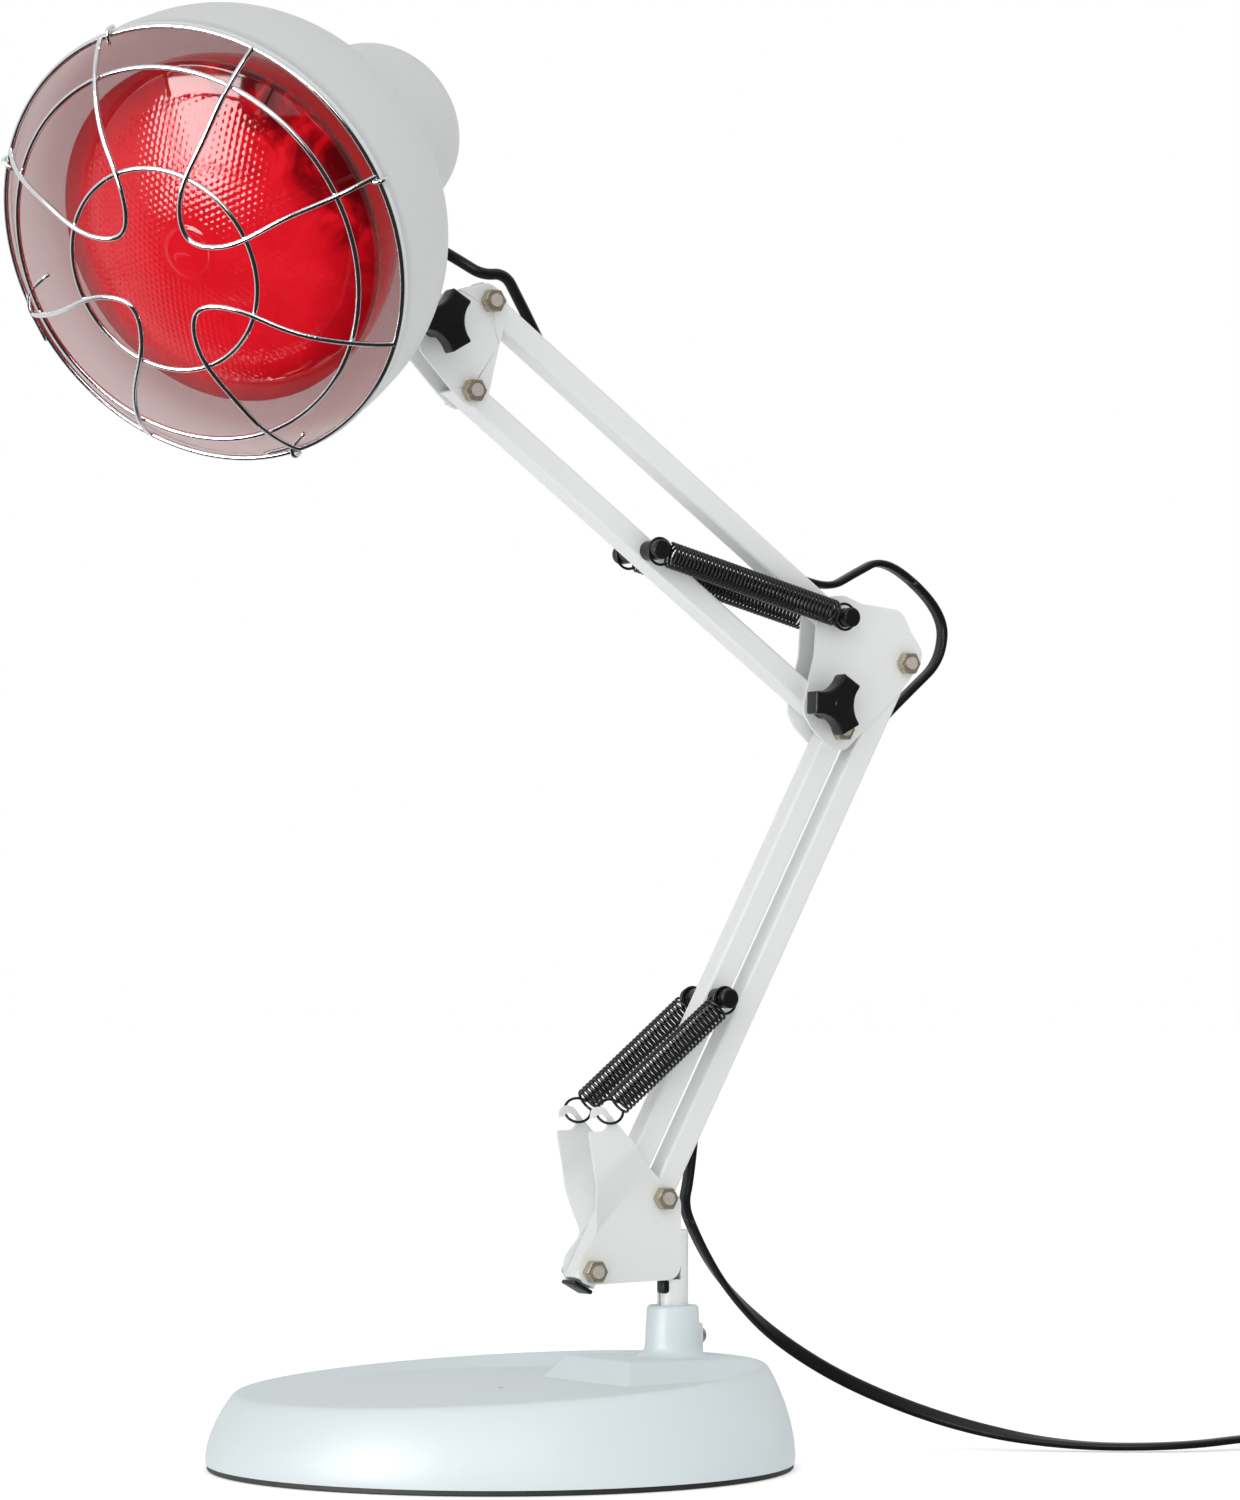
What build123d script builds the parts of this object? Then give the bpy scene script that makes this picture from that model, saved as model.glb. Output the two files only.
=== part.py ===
from build123d import *

import os
from math import asin, cos, degrees, radians, sin, sqrt, tan

# Infrared heat therapy lamp on a spring-balanced double parallelogram arm.
# Millimetres. Origin: centre of the base's underside. +Z up. The arm lies in the XZ plane,
# its head towards -X, and the fasteners' nuts and knobs face -Y.

os.makedirs("parts", exist_ok=True)

# ---------------------------------------------------------------- driving dimensions
# Base
foot_radius = 108.0          # round foot of the base
waist_radius = 104.6         # at half height, so that the side bulges
rim_radius = 95.5
foot_thickness = 2.0         # rubber pad under the shell
waist_height = 19.0
rim_height = 33.65           # rim plane above the origin
rim_tilt = 3.53              # degrees; the rim is lower towards the head
rim_land = 3.0               # flat top of the rim
base_wall = 2.6
deck_drop = 2.4              # deck below the rim
dish_radius = 61.0
dish_x = -28.7
dish_drop = 2.0              # dish floor below the deck
plinth_top = 39.5            # level block that carries the column
plinth_half_width = 17.5
plinth_toe_x = 36.5
plinth_lip_x = 43.5
cover_thickness = 2.0
weight_radius = 82.0
weight_thickness = 8.0
cover_screw_circle = 91.0
cover_screw_radius = 1.7
screw_post_radius = 4.5
cover_screw_count = 3
cover_head_height = 1.2

# Column socket
column_x = 75.2
boss_foot_radius = 10.4
boss_top_radius = 9.6
boss_top = 56.7
socket_wall = 1.2            # nylon bush
socket_floor = 12.0
clamp_pad_reach = 11.75      # face of the clamp pad from the column's axis
clamp_pad_width = 7.6
clamp_pad_top = 49.9
clamp_screw_height = 45.0
clamp_screw_radius = 2.0
clamp_head_radius = 2.95
clamp_head_height = 2.0

# Arm tubes, plates and fasteners
bar = 9.5                    # square tube
bar_wall = 0.9
bar_corner = 1.4
sheet = 1.0                  # folded plates
plate_gap = 0.1              # between a tube's side and a plate
bolt_radius = 2.5
bolt_fit = 0.05              # radial clearance on every pivot pin
hex_flats = 8.0
bolt_head = 3.3
nut_height = 4.0
bolt_tail = 0.6              # thread that shows past the nut
bar_overhang = 6.0           # tube beyond a pivot
elbow_overhang = 3.8         # where two tubes' ends come close in the elbow
slot_length = 18.5           # openings that let the cord into a tube
boom_slot_length = 23.0
slot_width = 6.2
foot_slot = 27.0             # distance of each slot from the pivot at its end
elbow_slot = 23.0
boom_slot = 19.0
head_slot = 26.5

# Lower parallelogram
lower_pivot_x = 67.2
lower_pivot_z = 97.0
lower_spacing = 40.8
lower_spacing_angle = 40.4
lower_length = 232.9
lower_angle = 61.27
left_bar_tail = 4.8

# Upper parallelogram
upper_pivot_x = 147.8
upper_pivot_z = 317.6
upper_spacing = 34.7
upper_spacing_angle = 76.4
upper_length = 191.65
upper_rise = 35.5

# Lower bracket
bend_height = 66.5           # underside of the plates
bend_top = 84.8              # top of the bend that joins them
ear_face = 11.7              # outer face of the flared ears
ear_run = 13.5               # length of the flare across its fold line
stem_slot = 1.2
stem_foot = socket_floor + 2.0

# Springs
spring_wire = 0.9
spring_radius = 4.25         # outside of the coils
spring_eye_radius = 5.0      # to the middle of the wire
spring_side = 11.2           # distance of the springs from the arm's middle plane
post_radius = 3.75
post_groove_radius = 3.0
post_groove_width = 1.6
post_reach = 15.3
lower_post_distance = 115.35  # along the left lower bar
upper_post_distance = 96.2    # along the lower bar of the upper arm
hook_x = 40.2                # middle of the eyes that hang on the lower bracket
hook_z = 129.9
notch_radius = 3.2
hook_turn = 37.0             # degrees that these eyes are turned out of the side plane

# Knobs
knob_radius = 11.6
knob_lobe_circle = 7.4
knob_web_radius = 7.2
knob_thickness = 7.4
knob_hub_radius = 5.2
knob_hub_height = 5.4
knob_gap = 0.1
knob_bore = 9.0

# Head
tilt_x = -33.0
tilt_z = 419.0
neck_lean = 29.7             # degrees from vertical, towards the head
swivel_rest = 25.9           # degrees from the arm's plane, towards -Y
neck_length = 70.0           # tilt axis to the shade's axis
neck_eye_radius = 7.0
shank_radius = 4.5
collar_radius = 9.0
collar_height = 3.0
pad_height = 2.5             # flat on the cap that the collar turns on
pad_depth = 3.0
swivel_gap = 0.1
stud_radius = 4.0
swivel_nut_flats = 13.0
swivel_nut_height = 4.0
shade_radius = 80.0
shade_band = 30.0            # near-cylindrical front of the shade
shade_band_radius = 79.0
shade_sheet = 1.0
mouth_distance = 103.0       # swivel axis to the rim
dome_depth = 74.5            # rim to the cap's seat
cap_radius = 33.0
cap_depth = 145.0            # rim to the cap's end
cap_rounding = 17.0
cap_wall = 1.6
dome_edge = cap_radius + 0.5
seat_hole = 29.0             # hole in the shade for the lamp
holder_radius = 21.0
holder_front = 91.0
holder_rounding = 6.0
holder_screw_radius = 1.7
holder_screw_spread = 17.0
grommet_depth = 125.0
grommet_radius = 5.0
grommet_neck = 3.6
grommet_flange = 1.4
bulb_radius = 62.5
bulb_front = -9.0            # lens crown, in front of the rim
lens_height = 20.0
lens_thickness = 3.0
bulb_seam = 15.0
bulb_glass = 2.5
bulb_waist_radius = 27.0
bulb_waist = 68.0
bulb_neck_radius = 19.0
bulb_neck = 84.0
bulb_cap_radius = 13.2
bulb_cap_front = 91.0
bulb_cap_end = 116.0
bulb_contact_end = 122.0
bulb_contact_radius = 4.6

# Wire guard
guard_wire = 0.95            # radius of the wire
guard_rim_radius = 79.0
guard_middle_radius = 67.7
guard_middle_front = 13.5    # in front of the rim
guard_inner_radius = 36.5
guard_inner_front = 28.3
guard_loop_count = 4
guard_loop_turn = -22.5      # first loop's middle, from the swivel axis
guard_loop_spread = 22.5     # each leg's end, from its loop's middle
guard_bend_radius = 10.3     # inner end of a loop, and its middle's distance from the axis
guard_bend_centre = 29.0
guard_nose = 29.4
guard_clip_turns = (2, 92, 182, 313)
guard_clip_length = 7.0

# Cord, with its switch and plug
cord_radius = 2.1
cord_lie = cord_radius + 0.1   # height of its middle over the table
cord_gap = 0.3
coil_radius = 28.5
coil_bundle = 5.6
coil_x = 396.0
coil_y = -127.0
switch_x = 329.0
switch_y = -92.0
switch_length = 52.0
switch_width = 24.0
switch_split = 7.0
switch_height = 15.5
switch_wall = 2.2
switch_corner = 8.0
switch_entry = 4.6
relief_length = 20.0
relief_radius = 4.0
rocker_length = 17.0
rocker_width = 10.0
rocker_pivot = 12.0
rocker_gap = 0.4
rocker_rise = 4.0
rocker_pin_radius = 1.2
plug_x = 336.0
plug_y = -158.0
plug_length = 34.0
plug_width = 35.3
plug_height = 13.7
plug_relief = 22.0
pin_radius = 2.0
pin_length = 19.0
pin_spacing = 19.0

# ---------------------------------------------------------------- derived places
plate_inner = bar / 2 + plate_gap
plate_outer = plate_inner + sheet
stem_radius = plate_outer
socket_radius = stem_radius + 0.05
bush_radius = socket_radius + socket_wall


def along(point, angle, distance):
    """The point of the arm's plane that lies that far from another, at an angle from +X."""
    return (
        point[0] + distance * cos(radians(angle)),
        point[1] + distance * sin(radians(angle)),
    )


def soft_corners(points, largest, closed=False):
    """A radius for each corner of a run of points, as far as its two sides leave room."""
    count = len(points)
    corners = range(count) if closed else range(1, count - 1)
    radii = []
    for corner in corners:
        before = Vector(*points[corner]) - Vector(*points[corner - 1])
        after = Vector(*points[(corner + 1) % count]) - Vector(*points[corner])
        half_turn = radians(before.get_angle(after) / 2)
        radii.append(min(largest, 0.45 * min(before.length, after.length) / tan(half_turn)))
    return radii


def side_plane(y):
    """A plane of the arm's side: its X and Y are the lamp's X and Z, and it faces -Y."""
    return Plane(origin=(0, y, 0), x_dir=(1, 0, 0), z_dir=(0, -1, 0))


def across(point, angle, distance=0.0):
    """A plane square to an arm tube, that far along it; its Y axis is the tube's upper side."""
    x, z = along(point, angle, distance)
    direction = (cos(radians(angle)), 0, sin(radians(angle)))
    return Plane(origin=(x, 0, z), x_dir=(0, 1, 0), z_dir=direction)


lower_front = (lower_pivot_x, lower_pivot_z)
lower_back = along(lower_front, lower_spacing_angle, -lower_spacing)
elbow_front = along(lower_front, lower_angle, lower_length)
elbow_back = along(lower_back, lower_angle, lower_length)
upper_angle = 180.0 - upper_rise
elbow_top = (upper_pivot_x, upper_pivot_z)
elbow_low = along(elbow_top, upper_spacing_angle, -upper_spacing)
head_top = along(elbow_top, upper_angle, upper_length)
head_low = along(elbow_low, upper_angle, upper_length)
tilt_pivot = (tilt_x, tilt_z)
lower_post = along(lower_back, lower_angle, lower_post_distance)
upper_post = along(elbow_low, upper_angle, upper_post_distance)
hook = (hook_x, hook_z)

# Shade frame: origin at the middle of the rim, Z backwards along the shade's axis and
# X along the swivel axis.
neck_axis = Vector(-sin(radians(neck_lean)), 0, cos(radians(neck_lean)))
shade_pivot = Vector(tilt_x, 0, tilt_z) + neck_axis * neck_length
level = Vector(cos(radians(neck_lean)), 0, sin(radians(neck_lean)))
backwards = level * cos(radians(swivel_rest)) + Vector(0, 1, 0) * sin(radians(swivel_rest))
mouth = shade_pivot - backwards * mouth_distance
shade_frame = Plane(
    origin=mouth,
    x_dir=neck_axis,
    z_dir=backwards,
)
across_shade = neck_axis.cross(backwards)
shade_section = Plane(
    origin=mouth,
    x_dir=neck_axis,
    z_dir=across_shade,
)
shade_axis = Axis(mouth, backwards)
pad_face = cap_radius + pad_height       # from the shade's axis
collar_top = neck_length - pad_face - swivel_gap
neck_frame = Plane(
    origin=(tilt_x, 0, tilt_z), x_dir=(0, 1, 0), z_dir=neck_axis
)
rim_plane = Plane(
    origin=(0, 0, rim_height),
    x_dir=(cos(radians(rim_tilt)), 0, sin(radians(rim_tilt))),
    z_dir=(-sin(radians(rim_tilt)), 0, cos(radians(rim_tilt))),
)
waist_plane = Plane(
    origin=(0, 0, waist_height),
    x_dir=(cos(radians(rim_tilt / 2)), 0, sin(radians(rim_tilt / 2))),
    z_dir=(-sin(radians(rim_tilt / 2)), 0, cos(radians(rim_tilt / 2))),
)

# ---------------------------------------------------------------- base
ceiling = deck_drop + dish_drop + base_wall

with BuildPart() as base_hollow:
    # The room inside the moulded shell, open below.
    with BuildSketch(Plane.XY.offset(foot_thickness)):
        Circle(foot_radius - base_wall)
    with BuildSketch(waist_plane):
        Circle(waist_radius - base_wall)
    with BuildSketch(rim_plane.offset(-ceiling)):
        Circle(rim_radius + 1.5)
    loft()
    # The column's socket and the posts for the cover's screws stand in that room.
    with BuildSketch(Plane.XY.offset(socket_floor - base_wall)):
        with Locations((column_x, 0)):
            Circle(boss_foot_radius)
    extrude(amount=plinth_top, mode=Mode.SUBTRACT)
    with BuildSketch(Plane.XY.offset(foot_thickness + cover_thickness)):
        with PolarLocations(cover_screw_circle, cover_screw_count, start_angle=60):
            Circle(screw_post_radius)
    extrude(amount=plinth_top, mode=Mode.SUBTRACT)

with BuildPart() as base_shell:
    with BuildSketch(Plane.XY.offset(foot_thickness)):
        Circle(foot_radius)
    with BuildSketch(waist_plane):
        Circle(waist_radius)
    with BuildSketch(rim_plane):
        Circle(rim_radius)
    loft()
    with BuildSketch(rim_plane):
        Circle(rim_radius - rim_land)
    extrude(amount=-deck_drop, mode=Mode.SUBTRACT)
    with BuildSketch(rim_plane.offset(-deck_drop)):
        with Locations((dish_x, 0)):
            Circle(dish_radius)
    extrude(amount=-dish_drop, taper=40, mode=Mode.SUBTRACT)
    add(base_hollow.part, mode=Mode.SUBTRACT)
    with BuildSketch(side_plane(0)):
        Polygon(
            (plinth_toe_x, rim_height - deck_drop - base_wall / 2),
            (plinth_lip_x, plinth_top),
            (rim_radius - rim_land / 2, plinth_top),
            (rim_radius - rim_land / 2, rim_height - deck_drop),
            align=None,
        )
    extrude(amount=plinth_half_width, both=True)
    with BuildSketch(Plane.XY.offset(plinth_top)):
        with Locations((column_x, 0)):
            Circle(boss_foot_radius)
    extrude(
        amount=boss_top - plinth_top,
        taper=degrees(asin((boss_foot_radius - boss_top_radius) / (boss_top - plinth_top))),
    )
    with BuildSketch(Plane.XY.offset(plinth_top)):
        with Locations((column_x + clamp_pad_reach / 2, 0)):
            Rectangle(clamp_pad_reach, clamp_pad_width)
    extrude(amount=clamp_pad_top - plinth_top)
    with BuildSketch(Plane.XY.offset(socket_floor)):
        with Locations((column_x, 0)):
            Circle(bush_radius)
    extrude(amount=boss_top, mode=Mode.SUBTRACT)
    with BuildSketch(Plane.YZ.offset(column_x)):
        with Locations((0, clamp_screw_height)):
            Circle(clamp_screw_radius + bolt_fit)
    extrude(amount=clamp_pad_reach + 1, mode=Mode.SUBTRACT)
    with BuildSketch(Plane.XY.offset(foot_thickness + cover_thickness)):
        with PolarLocations(cover_screw_circle, cover_screw_count, start_angle=60):
            Circle(cover_screw_radius + bolt_fit)
    extrude(amount=weight_thickness, mode=Mode.SUBTRACT)

with BuildPart() as base_cover:
    with BuildSketch(Plane.XY.offset(foot_thickness)):
        Circle(foot_radius - base_wall - 0.6)
        with PolarLocations(cover_screw_circle, cover_screw_count, start_angle=60):
            Circle(cover_screw_radius + bolt_fit, mode=Mode.SUBTRACT)
    extrude(amount=cover_thickness)

with BuildPart() as foot_pad:
    with BuildSketch():
        Circle(foot_radius - 0.4)
    extrude(amount=foot_thickness)
    chamfer(foot_pad.edges().group_by(Axis.Z)[0], 0.4)
    with BuildSketch(Plane.XY.offset(foot_thickness)):
        with PolarLocations(cover_screw_circle, cover_screw_count, start_angle=60):
            Circle(2 * cover_screw_radius + 0.6)
    extrude(amount=-cover_head_height - 0.2, mode=Mode.SUBTRACT)

with BuildPart() as base_weight:
    with BuildSketch(Plane.XY.offset(foot_thickness + cover_thickness)):
        Circle(weight_radius)
        with Locations((column_x, 0)):
            Circle(boss_foot_radius + 1.5, mode=Mode.SUBTRACT)
    extrude(amount=weight_thickness)
    chamfer(base_weight.edges().group_by(Axis.Z)[-1], 1.0)

with BuildPart() as cover_screws:
    with BuildSketch(Plane.XY.offset(foot_thickness)):
        with PolarLocations(cover_screw_circle, cover_screw_count, start_angle=60):
            Circle(2 * cover_screw_radius)
    extrude(amount=-cover_head_height)
    with BuildSketch(Plane.XY.offset(foot_thickness)):
        with PolarLocations(cover_screw_circle, cover_screw_count, start_angle=60):
            Circle(cover_screw_radius)
    extrude(amount=cover_thickness + 7)

with BuildPart() as column_bush:
    with BuildSketch(Plane.XY.offset(socket_floor)):
        with Locations((column_x, 0)):
            Circle(bush_radius)
    extrude(amount=boss_top - socket_floor - 0.4)
    with BuildSketch(Plane.XY.offset(stem_foot)):
        with Locations((column_x, 0)):
            Circle(socket_radius)
    extrude(amount=boss_top, mode=Mode.SUBTRACT)
    with BuildSketch(Plane.YZ.offset(column_x)):
        with Locations((0, clamp_screw_height)):
            Circle(clamp_screw_radius + bolt_fit)
    extrude(amount=clamp_pad_reach, mode=Mode.SUBTRACT)

with BuildPart() as clamp_screw:
    with BuildSketch(Plane.YZ.offset(column_x + stem_radius + 0.3)):
        with Locations((0, clamp_screw_height)):
            Circle(clamp_screw_radius)
    extrude(amount=clamp_pad_reach - stem_radius - 0.3)
    with BuildSketch(Plane.YZ.offset(column_x + clamp_pad_reach)):
        with Locations((0, clamp_screw_height)):
            Circle(clamp_head_radius)
    extrude(amount=clamp_head_height)
    fillet(clamp_screw.faces().sort_by(Axis.X)[-1].edges(), 1.2)

# ---------------------------------------------------------------- lower bracket
fold_angle = 47.4
fold_point = (39.2, 86.0)
fold_x, fold_z = fold_point
fold_plane = Plane(
    origin=(fold_x, 0, fold_z),
    x_dir=(-sin(radians(fold_angle)), 0, cos(radians(fold_angle))),
    z_dir=(cos(radians(fold_angle)), 0, sin(radians(fold_angle))),
)
plate_middle = plate_inner + sheet / 2
ear_middle = ear_face - sheet / 2
far = 90.0

with BuildPart() as lower_bracket:
    # Outline of both plates, seen from the side, with a hook notched into the top left.
    with BuildSketch(side_plane(0)):
        with BuildLine():
            outline = [
                (lower_back[0] - 5.5, lower_back[1] - 5.0),
                (column_x, bend_height),
                (column_x, lower_front[1] - 1.0),
                (column_x - 4.0, lower_front[1] + 4.6),
                (lower_front[0] - 1.4, lower_front[1] + 7.2),
                (53.5, 115.3),
                (42.2, 126.4),
                (37.5, 131.9),
                (32.2, 131.4),
                (31.2, 120.6),
                (33.6, 108.0),
                (35.4, 96.0),
                (38.0, 84.0),
                (lower_back[0] - 5.5, lower_back[1] + 5.0),
            ]
            FilletPolyline(*outline, radius=soft_corners(outline, 6.0, closed=True), close=True)
        make_face()
        with Locations((hook_x - 4.0, hook_z - 4.2)):
            Circle(notch_radius, mode=Mode.SUBTRACT)
        with Locations((hook_x - 9.0, hook_z - 4.9)):
            Rectangle(10.0, 2 * notch_radius - 1.4, mode=Mode.SUBTRACT)
    extrude(amount=ear_face + 2, both=True)
    # Two sheets that run straight past the bars and flare out at the ears.
    with BuildSketch(fold_plane):
        with BuildLine():
            for edge in (-sheet / 2, sheet / 2):
                Polyline(
                    (-far, plate_middle + edge),
                    (0, plate_middle + edge),
                    (ear_run, ear_middle + edge),
                    (far, ear_middle + edge),
                )
            for end, middle in ((-far, plate_middle), (far, ear_middle)):
                Line((end, middle - sheet / 2), (end, middle + sheet / 2))
        make_face()
        mirror(about=Plane.XZ)
    extrude(amount=far, both=True, mode=Mode.INTERSECT)
    # The bend that joins the plates, and the stem rolled from the same sheet below it.
    with BuildSketch(Plane.XY.offset(bend_height)):
        with Locations((column_x, 0)):
            Circle(stem_radius)
            Circle(stem_radius - sheet, mode=Mode.SUBTRACT)
            with Locations((-stem_radius, 0)):
                Rectangle(2 * stem_radius, 3 * stem_radius, mode=Mode.SUBTRACT)
    extrude(amount=bend_top - bend_height)
    with BuildSketch(Plane.XY.offset(stem_foot)):
        with Locations((column_x, 0)):
            Circle(stem_radius)
            Circle(stem_radius - sheet, mode=Mode.SUBTRACT)
            with Locations((-stem_radius, 0)):
                Rectangle(stem_radius, stem_slot, mode=Mode.SUBTRACT)
    extrude(amount=bend_height - stem_foot)
    for x, z in (lower_front, lower_back):
        with BuildSketch(side_plane(0)):
            with Locations((x, z)):
                Circle(bolt_radius + bolt_fit)
        extrude(amount=plate_outer + 1, both=True, mode=Mode.SUBTRACT)


# ---------------------------------------------------------------- bolts, nuts and knobs
def pivot_bolts(places, reach):
    """Bolts across the two plates, their heads at the back, that far past the front plate."""
    with BuildPart() as bolts:
        with BuildSketch(side_plane(plate_outer)):
            with Locations(*places):
                Circle(bolt_radius)
        extrude(amount=2 * plate_outer + reach)
        with BuildSketch(side_plane(plate_outer)):
            with Locations(*places):
                RegularPolygon(hex_flats / 2, 6, major_radius=False)
        extrude(amount=-bolt_head)
    return bolts


def pivot_nuts(places):
    """The nuts of such bolts, at the front."""
    with BuildPart() as nuts:
        with BuildSketch(side_plane(-plate_outer)):
            with Locations(*places):
                RegularPolygon(hex_flats / 2, 6, major_radius=False)
                Circle(bolt_radius, mode=Mode.SUBTRACT)
        extrude(amount=nut_height)
    return nuts


def lobed_knob(place, turn):
    """A three-lobed clamping knob in front of the plates."""
    with BuildPart() as knob:
        with BuildSketch(side_plane(-plate_outer - knob_gap)):
            with Locations(place):
                Circle(knob_hub_radius)
        extrude(amount=knob_hub_height)
        with BuildSketch(side_plane(-plate_outer - knob_gap - knob_hub_height)):
            with Locations(place):
                Circle(knob_web_radius)
                with PolarLocations(knob_lobe_circle, 3, start_angle=turn):
                    Circle(knob_radius - knob_lobe_circle)
        extrude(amount=knob_thickness)
        fillet(knob.faces().sort_by(Axis.Y)[0].edges(), 1.4)
        with BuildSketch(side_plane(-plate_outer - knob_gap)):
            with Locations(place):
                Circle(bolt_radius + bolt_fit)
        extrude(amount=knob_bore, mode=Mode.SUBTRACT)
    return knob


nut_reach = nut_height + bolt_tail
knob_reach = knob_gap + knob_bore - 1.0
lower_bolts = pivot_bolts([lower_front, lower_back], nut_reach)
lower_nuts = pivot_nuts([lower_front, lower_back])
elbow_bolts = pivot_bolts([elbow_front, elbow_back], nut_reach)
elbow_nuts = pivot_nuts([elbow_front, elbow_back])
head_bolts = pivot_bolts([head_top, head_low], nut_reach)
head_nuts = pivot_nuts([head_top, head_low])
elbow_knob_bolt = pivot_bolts([elbow_low], knob_reach)
elbow_knob = lobed_knob(elbow_low, 180)
head_knob_bolt = pivot_bolts([tilt_pivot], knob_reach)
head_knob = lobed_knob(tilt_pivot, 200)


# ---------------------------------------------------------------- arm tubes
def tube(start, angle, length, low_end, high_end):
    """A square arm tube that runs a little past its pivot holes."""
    with BuildPart() as result:
        with BuildSketch(across(start, angle, -low_end)):
            RectangleRounded(bar, bar, bar_corner)
            RectangleRounded(
                bar - 2 * bar_wall, bar - 2 * bar_wall, bar_corner - bar_wall / 2, mode=Mode.SUBTRACT
            )
        extrude(amount=length + low_end + high_end)
        with BuildSketch(side_plane(0)):
            with Locations(start, along(start, angle, length)):
                Circle(bolt_radius + bolt_fit)
        extrude(amount=bar, both=True, mode=Mode.SUBTRACT)
    return result


def outer_face(start, angle, distance):
    """The face of an arm tube that the cord's slots are in; its X axis runs along the tube."""
    x, z = along(along(start, angle, distance), angle - 90, bar / 2)
    return Plane(
        origin=(x, 0, z),
        x_dir=(cos(radians(angle)), 0, sin(radians(angle))),
        z_dir=(sin(radians(angle)), 0, -cos(radians(angle))),
    )


lower_tube = tube(lower_front, lower_angle, lower_length, bar_overhang, bar_overhang)
with BuildPart() as right_bar:
    add(lower_tube.part)
    for distance in (foot_slot, lower_length - elbow_slot):
        with BuildSketch(outer_face(lower_front, lower_angle, distance)):
            SlotOverall(slot_length, slot_width)
        extrude(amount=-2 * bar_wall, mode=Mode.SUBTRACT)

back_tube = tube(lower_back, lower_angle, lower_length, left_bar_tail, elbow_overhang)
with BuildPart() as left_bar:
    add(back_tube.part)
    with BuildSketch(side_plane(0)):
        with Locations(lower_post):
            Circle(bolt_radius)
    extrude(amount=bar, both=True, mode=Mode.SUBTRACT)

upper_tube = tube(elbow_top, upper_angle, upper_length, bar_overhang, bar_overhang)
with BuildPart() as boom_upper:
    add(upper_tube.part)
    with BuildSketch(outer_face(elbow_top, upper_angle, boom_slot)):
        SlotOverall(boom_slot_length, slot_width)
    extrude(amount=-2 * bar_wall, mode=Mode.SUBTRACT)
    with BuildSketch(outer_face(elbow_top, upper_angle, upper_length - head_slot)):
        SlotOverall(slot_length, slot_width)
    extrude(amount=-2 * bar_wall, mode=Mode.SUBTRACT)

under_tube = tube(elbow_low, upper_angle, upper_length, elbow_overhang, bar_overhang)
with BuildPart() as boom_lower:
    add(under_tube.part)
    with BuildSketch(side_plane(0)):
        with Locations(upper_post):
            Circle(bolt_radius)
    extrude(amount=bar, both=True, mode=Mode.SUBTRACT)


# ---------------------------------------------------------------- spring posts and springs
def grooved_post(place, seat):
    """A stud through the arm with a grooved spool on each side, from |y| = seat outwards."""
    groove = spring_side - post_groove_width / 2
    with BuildPart() as post:
        with BuildSketch(side_plane(0)):
            with Locations(place):
                Circle(bolt_radius)
        extrude(amount=post_reach)
        with BuildSketch(side_plane(-seat)):
            with Locations(place):
                Circle(post_radius)
        extrude(amount=groove - seat)
        with BuildSketch(side_plane(-groove)):
            with Locations(place):
                Circle(post_groove_radius)
        extrude(amount=post_groove_width)
        with BuildSketch(side_plane(-groove - post_groove_width)):
            with Locations(place):
                Circle(post_radius)
        extrude(amount=post_reach - groove - post_groove_width)
        chamfer(post.faces().sort_by(Axis.Y)[0].edges(), 0.6)
        mirror(about=Plane.XZ)
    return post


lower_spring_post = grooved_post(lower_post, bar / 2)
upper_spring_post = grooved_post(upper_post, bar / 2)
elbow_spring_stud = grooved_post(elbow_top, plate_outer)

eye_shift = spring_eye_radius - spring_wire / 2 - post_groove_radius - 0.1
eye_to_coils = 3.4


def balance_springs(first, second, first_turn):
    """A pair of close-wound extension springs between two eye centres of the side plane."""
    run = Vector(second[0] - first[0], 0, second[1] - first[1])
    length = run.length
    ahead = run.normalized()
    above = Vector(-ahead.Z, 0, ahead.X)
    tilted = above * cos(radians(first_turn)) + Vector(0, 1, 0) * sin(radians(first_turn))
    normal = ahead.cross(tilted)
    with BuildPart() as springs:
        for side in (-spring_side, spring_side):
            start = Vector(first[0], side, first[1])
            coils = start + ahead * eye_to_coils
            with BuildSketch(Plane(origin=coils, z_dir=ahead)):
                Circle(spring_radius)
                Circle(spring_radius - spring_wire, mode=Mode.SUBTRACT)
            extrude(amount=length - 2 * eye_to_coils)
            eye = Plane(origin=start, x_dir=ahead, z_dir=normal)
            with BuildSketch(eye.offset(-spring_wire / 2)):
                Circle(spring_eye_radius + spring_wire / 2)
                Circle(spring_eye_radius - spring_wire / 2, mode=Mode.SUBTRACT)
            extrude(amount=spring_wire)
            with BuildSketch(side_plane(side + spring_wire / 2)):
                with Locations(second):
                    Circle(spring_eye_radius + spring_wire / 2)
                    Circle(spring_eye_radius - spring_wire / 2, mode=Mode.SUBTRACT)
            extrude(amount=spring_wire)
    return springs


def towards(point, other, distance):
    """The point that lies that far from one place of the side plane on the way to another."""
    run = Vector(other[0] - point[0], other[1] - point[1]).normalized()
    return (point[0] + run.X * distance, point[1] + run.Y * distance)


lower_springs = balance_springs(hook, towards(lower_post, hook, eye_shift), hook_turn)
upper_springs = balance_springs(
    towards(upper_post, elbow_top, eye_shift), towards(elbow_top, upper_post, eye_shift), 0
)

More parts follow.
